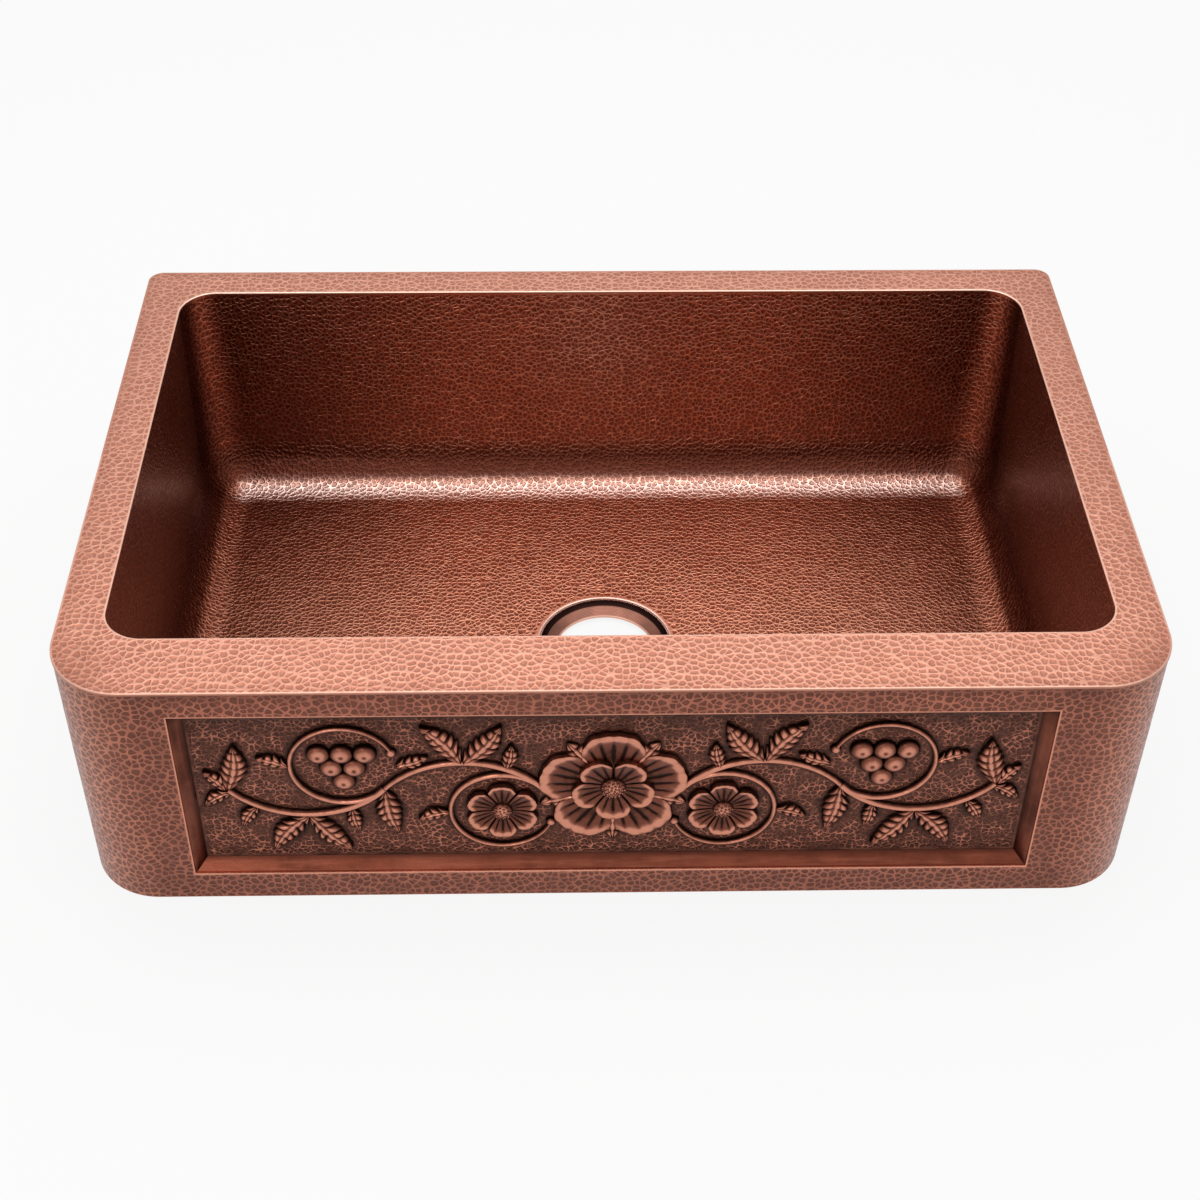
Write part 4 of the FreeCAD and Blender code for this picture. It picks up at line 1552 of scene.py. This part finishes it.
def makeVine():
    leaf = sculpted("leaf", 60, 20, leafShape(**vine["leaf"]))
    small = sculpted("small_leaf", 40, 16, leafShape(**vine["small"]))
    half = vine["halfWave"]
    arcRadius = (half**2 + vine["rise"] ** 2) / (2 * vine["rise"])
    arcHalf = math.degrees(math.asin(half / arcRadius))
    curl = vine["scroll"]["radius"]
    leaves, stems, blooms, berries = [], [], [], []
    for middleX, side in vine["bays"]:
        start = (90 + arcHalf) * side
        arc = {
            "centre": (middleX, side * (vine["rise"] - arcRadius)),
            "radius": arcRadius,
            "start": start,
            "sweep": -2 * arcHalf * side,
        }
        stems.append(sculpted("stem", 84, 10, stemShape(**arc, **vine["stem"])))
        heart = (middleX - half - curl * math.cos(math.radians(start)), -curl * math.sin(math.radians(start)))
        turning = dict(vine["scroll"], centre=heart, start=start, sweep=-vine["scroll"]["sweep"] * side)
        stems.append(sculpted("scroll", 140, 10, stemShape(**turning)))
        tip = math.radians(start + turning["sweep"])
        knob = dome("knob", 0.0042, 0.0036, 20)
        stems.append(copyOf(knob, (heart[0] + curl * math.cos(tip), heart[1] + curl * math.sin(tip))))
        remove(knob)
        for turn in (vine["leafTurn"], -vine["leafTurn"]):
            leaves.append(copyOf(leaf, (middleX, side * vine["rise"]), 90 * side + turn))
        leaves.append(copyOf(leaf, (middleX + half, 0), -vine["spurTurn"] * side))
        if side > 0:
            petal = sculpted("petal", 20, 26, petalShape(**vine["bloom"]))
            bloom = flower("bloom", petal, 6, 90)
            boss = dome("boss", vine["bloomBoss"], 0.0054, 24)
            whole = joined(bloom, beaded(boss, vine["bloomBoss"], 0.0054, 22, 0.0011))
            blooms.append(copyOf(whole, heart))
            remove(whole)
        else:
            berry = vine["berry"]
            seed = dome("berry", berry["radius"], berry["height"], 44)
            # painted shade: darker towards the sides, and a dark spot on top for the shade of a dimple that
            # is not modelled
            spot = np.hypot(*coordinates(seed)[:, :2].T) / berry["radius"]
            store(seed, "rubAndShade", np.clip(1 - spot**2, 0, 1) ** 0.9 * (1 - 0.75 * bell(spot, 0, 0.16)))
            for row, count in enumerate((3, 2, 1)):
                y = berry["top"] - row * berry["rowPitch"]
                for index in range(count):
                    x = (index - (count - 1) / 2) * berry["pitch"]
                    berries.append(copyOf(seed, (heart[0] + x, heart[1] + y)))
            remove(seed)
    leaves += [copyOf(small, (x, y), turn) for x, y, turn in vine["sprigs"]]
    remove(leaf, small)
    groups = (("leaves", leaves), ("stems", stems), ("blooms", blooms), ("berries", berries))
    return [gathered("relief_" + name, pieces) for name, pieces in groups]


def makeGround(raised):
    startFresh()
    width, height = panelHigh.x - panelLow.x, panelHigh.z - panelLow.z
    columns, rows = round(width / field["pitch"]), round(height / field["pitch"])
    bpy.ops.mesh.primitive_grid_add(x_subdivisions=columns, y_subdivisions=rows, size=1)
    ground = bpy.context.object
    ground.scale = (width, height, 1)
    settle(ground)
    edit(ground)
    choose(ground, "EDGE", lambda e: len(e.link_faces) == 1)
    bpy.ops.mesh.extrude_region_move(TRANSFORM_OT_translate={"value": (0, 0, field["face"] - panelHigh.y)})
    bpy.ops.mesh.edge_face_add()
    leaveEdit()
    feet = np.concatenate([coordinates(piece) for piece in raised])
    feet = feet[feet[:, 2] < 0]
    tree = KDTree(len(feet))
    for index, foot in enumerate(feet):
        tree.insert((foot[0], foot[1], 0), index)
    tree.balance()
    at = coordinates(ground)
    nearest = np.array([tree.find((x, y, 0))[2] for x, y in at[:, :2]])
    # painted shadow: the ground darkens in a ring round each raised piece
    clear = ease(nearest, 0.0006, field["grooveWidth"])
    inside = np.minimum(field["halfWidth"] - np.abs(at[:, 0]), field["halfHeight"] - np.abs(at[:, 1]))
    front = at[:, 2] > -1e-6
    dent = np.where(front, (0.25 + 0.75 * clear) * ease(inside, 0.0, 0.004), 0)
    at[:, 2] -= np.where(front, field["groove"] * (1 - clear), 0)
    ground.data.vertices.foreach_set("co", at.ravel())
    # painted shade: darker at the panel's edges and under its top edge
    clear = np.minimum(clear, ease(inside, -0.001, 0.006)) * (1 - 0.45 * ease(at[:, 1], 0.045, 0.078))
    flat = np.stack([at[:, 0], at[:, 1], 0 * at[:, 0]], 1)
    beat(ground, flat, dent, clear, 0 * dent, nodes=beatingNodes("chasing", chasing))
    ground.name = ground.data.name = "relief_ground"
    return ground


def paintSlopeShade(piece):
    # painted shade: the steep sides darker, most of all those that face down, as under light from above
    count = len(piece.data.vertices)
    normals, rubAndShade = np.zeros(count * 3), np.zeros(count)
    piece.data.vertices.foreach_get("normal", normals)
    piece.data.attributes["rubAndShade"].data.foreach_get("value", rubAndShade)
    normals = normals.reshape(-1, 3)
    facing = np.clip(-normals[:, 1], 0, 1)
    store(piece, "rubAndShade", rubAndShade * (0.35 + 0.65 * ease(facing, 0.35, 0.95)) * (1 + 0.25 * normals[:, 2]))


def makeRelief():
    raised = [makeRose(), *makeVine()]
    pieces = [makeGround(raised), *raised]
    for piece in pieces:
        piece.rotation_euler = (math.pi / 2, 0, 0)
        piece.location = (0, field["face"], field["middle"])
        settle(piece)
        smooth(piece, 50)
        metal = chasedCopper
        if piece.name != "relief_ground":
            metal = carvedCopper
            paintSlopeShade(piece)
        finished(piece, "relief_copper", metal, "relief_panel")


makeRelief()
print("relief done")


# Studio: floor, lights and camera

studio = {
    "camera": (-0.0384173, -1.3120396, 1.2463314),
    "turn": (48.0294, -0.4345, -1.0817),
    "lens": 59.81,
    "world": 0.55,
    "floorSize": 60,
    "floorTone": 0.86,
    "floorGlow": 0.87,
    "overhead": {"place": (0.0, 0.25, 1.9), "size": (2.0, 1.5), "power": 16.0, "aim": (0.0, 0.24, 0.1)},
    "front": {"place": (-0.9, -2.2, 1.3), "size": (1.0, 0.8), "power": 7.0, "aim": (0.0, -0.1, 0.12)},
}


def addLight(name, place, size, power, aim):
    lamp = bpy.data.lights.new(name, "AREA")
    lamp.shape = "RECTANGLE"
    lamp.size, lamp.size_y = size
    lamp.energy = power
    holder = bpy.data.objects.new(name, lamp)
    holder.location = place
    holder.rotation_euler = (Vector(aim) - Vector(place)).to_track_quat("-Z", "Y").to_euler()
    bpy.context.scene.collection.objects.link(holder)


def whereSeen(tree):
    # 1 where the camera sees a thing itself, mirrored or through something
    path = tree.nodes.new("ShaderNodeLightPath")
    seen = mathNode(tree, "MAXIMUM", path.outputs["Is Camera Ray"], path.outputs["Is Transmission Ray"])
    return mathNode(tree, "MAXIMUM", seen, path.outputs["Is Glossy Ray"])


def makeStudio():
    camera = bpy.data.objects.new("camera", bpy.data.cameras.new("camera"))
    camera.data.lens = studio["lens"]
    camera.data.sensor_width = 36
    camera.location = studio["camera"]
    camera.rotation_euler = [math.radians(a) for a in studio["turn"]]
    bpy.context.scene.collection.objects.link(camera)
    bpy.context.scene.camera = camera

    startFresh()
    bpy.ops.mesh.primitive_plane_add(size=studio["floorSize"], location=(0, 0, 0))
    floor = bpy.context.object
    floor.name = "floor"
    material = bpy.data.materials.new("floorPale")
    material.use_nodes = True
    tree = material.node_tree
    tree.nodes.remove(tree.nodes["Principled BSDF"])
    diffuse = tree.nodes.new("ShaderNodeBsdfDiffuse")
    diffuse.inputs["Color"].default_value = (*[studio["floorTone"]] * 3, 1)
    glow = tree.nodes.new("ShaderNodeEmission")
    glow.inputs["Color"].default_value = (1, 1, 1, 1)
    seen = whereSeen(tree)
    share = mathNode(tree, "MULTIPLY", seen, studio["floorGlow"])
    mix = tree.nodes.new("ShaderNodeMixShader")
    link(tree, share, mix.inputs[0])
    link(tree, diffuse.outputs[0], mix.inputs[1])
    link(tree, glow.outputs[0], mix.inputs[2])
    link(tree, mix.outputs[0], tree.nodes["Material Output"].inputs["Surface"])
    floor.data.materials.append(material)

    world = bpy.data.worlds.new("studio")
    bpy.context.scene.world = world
    world.use_nodes = True
    tree = world.node_tree
    background = tree.nodes["Background"]
    background.inputs["Color"].default_value = (1, 1, 1, 1)
    seen = whereSeen(tree)
    level = rangeNode(tree, seen, 0.0, 1.0, studio["world"], 1.0)
    link(tree, level, background.inputs["Strength"])

    for name in ("overhead", "front"):
        addLight(name, **studio[name])
    bpy.context.scene.view_settings.view_transform = "Standard"


makeStudio()
print("studio ready")


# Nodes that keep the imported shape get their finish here

slotOf = {part["node"]: part["material_slot"] for part in frame["record"]["subparts"]}
for name, node in frame["nodes"].items():
    if not node.hide_render:
        level = name in ("reveal_top", "reveal_bottom")
        sheet = levelCopper if level else sideCopper
        node.data.materials.clear()
        node.data.materials.append(sheet if slotOf[name] == "smooth_copper" else plainCopper)
print("kept nodes dressed")
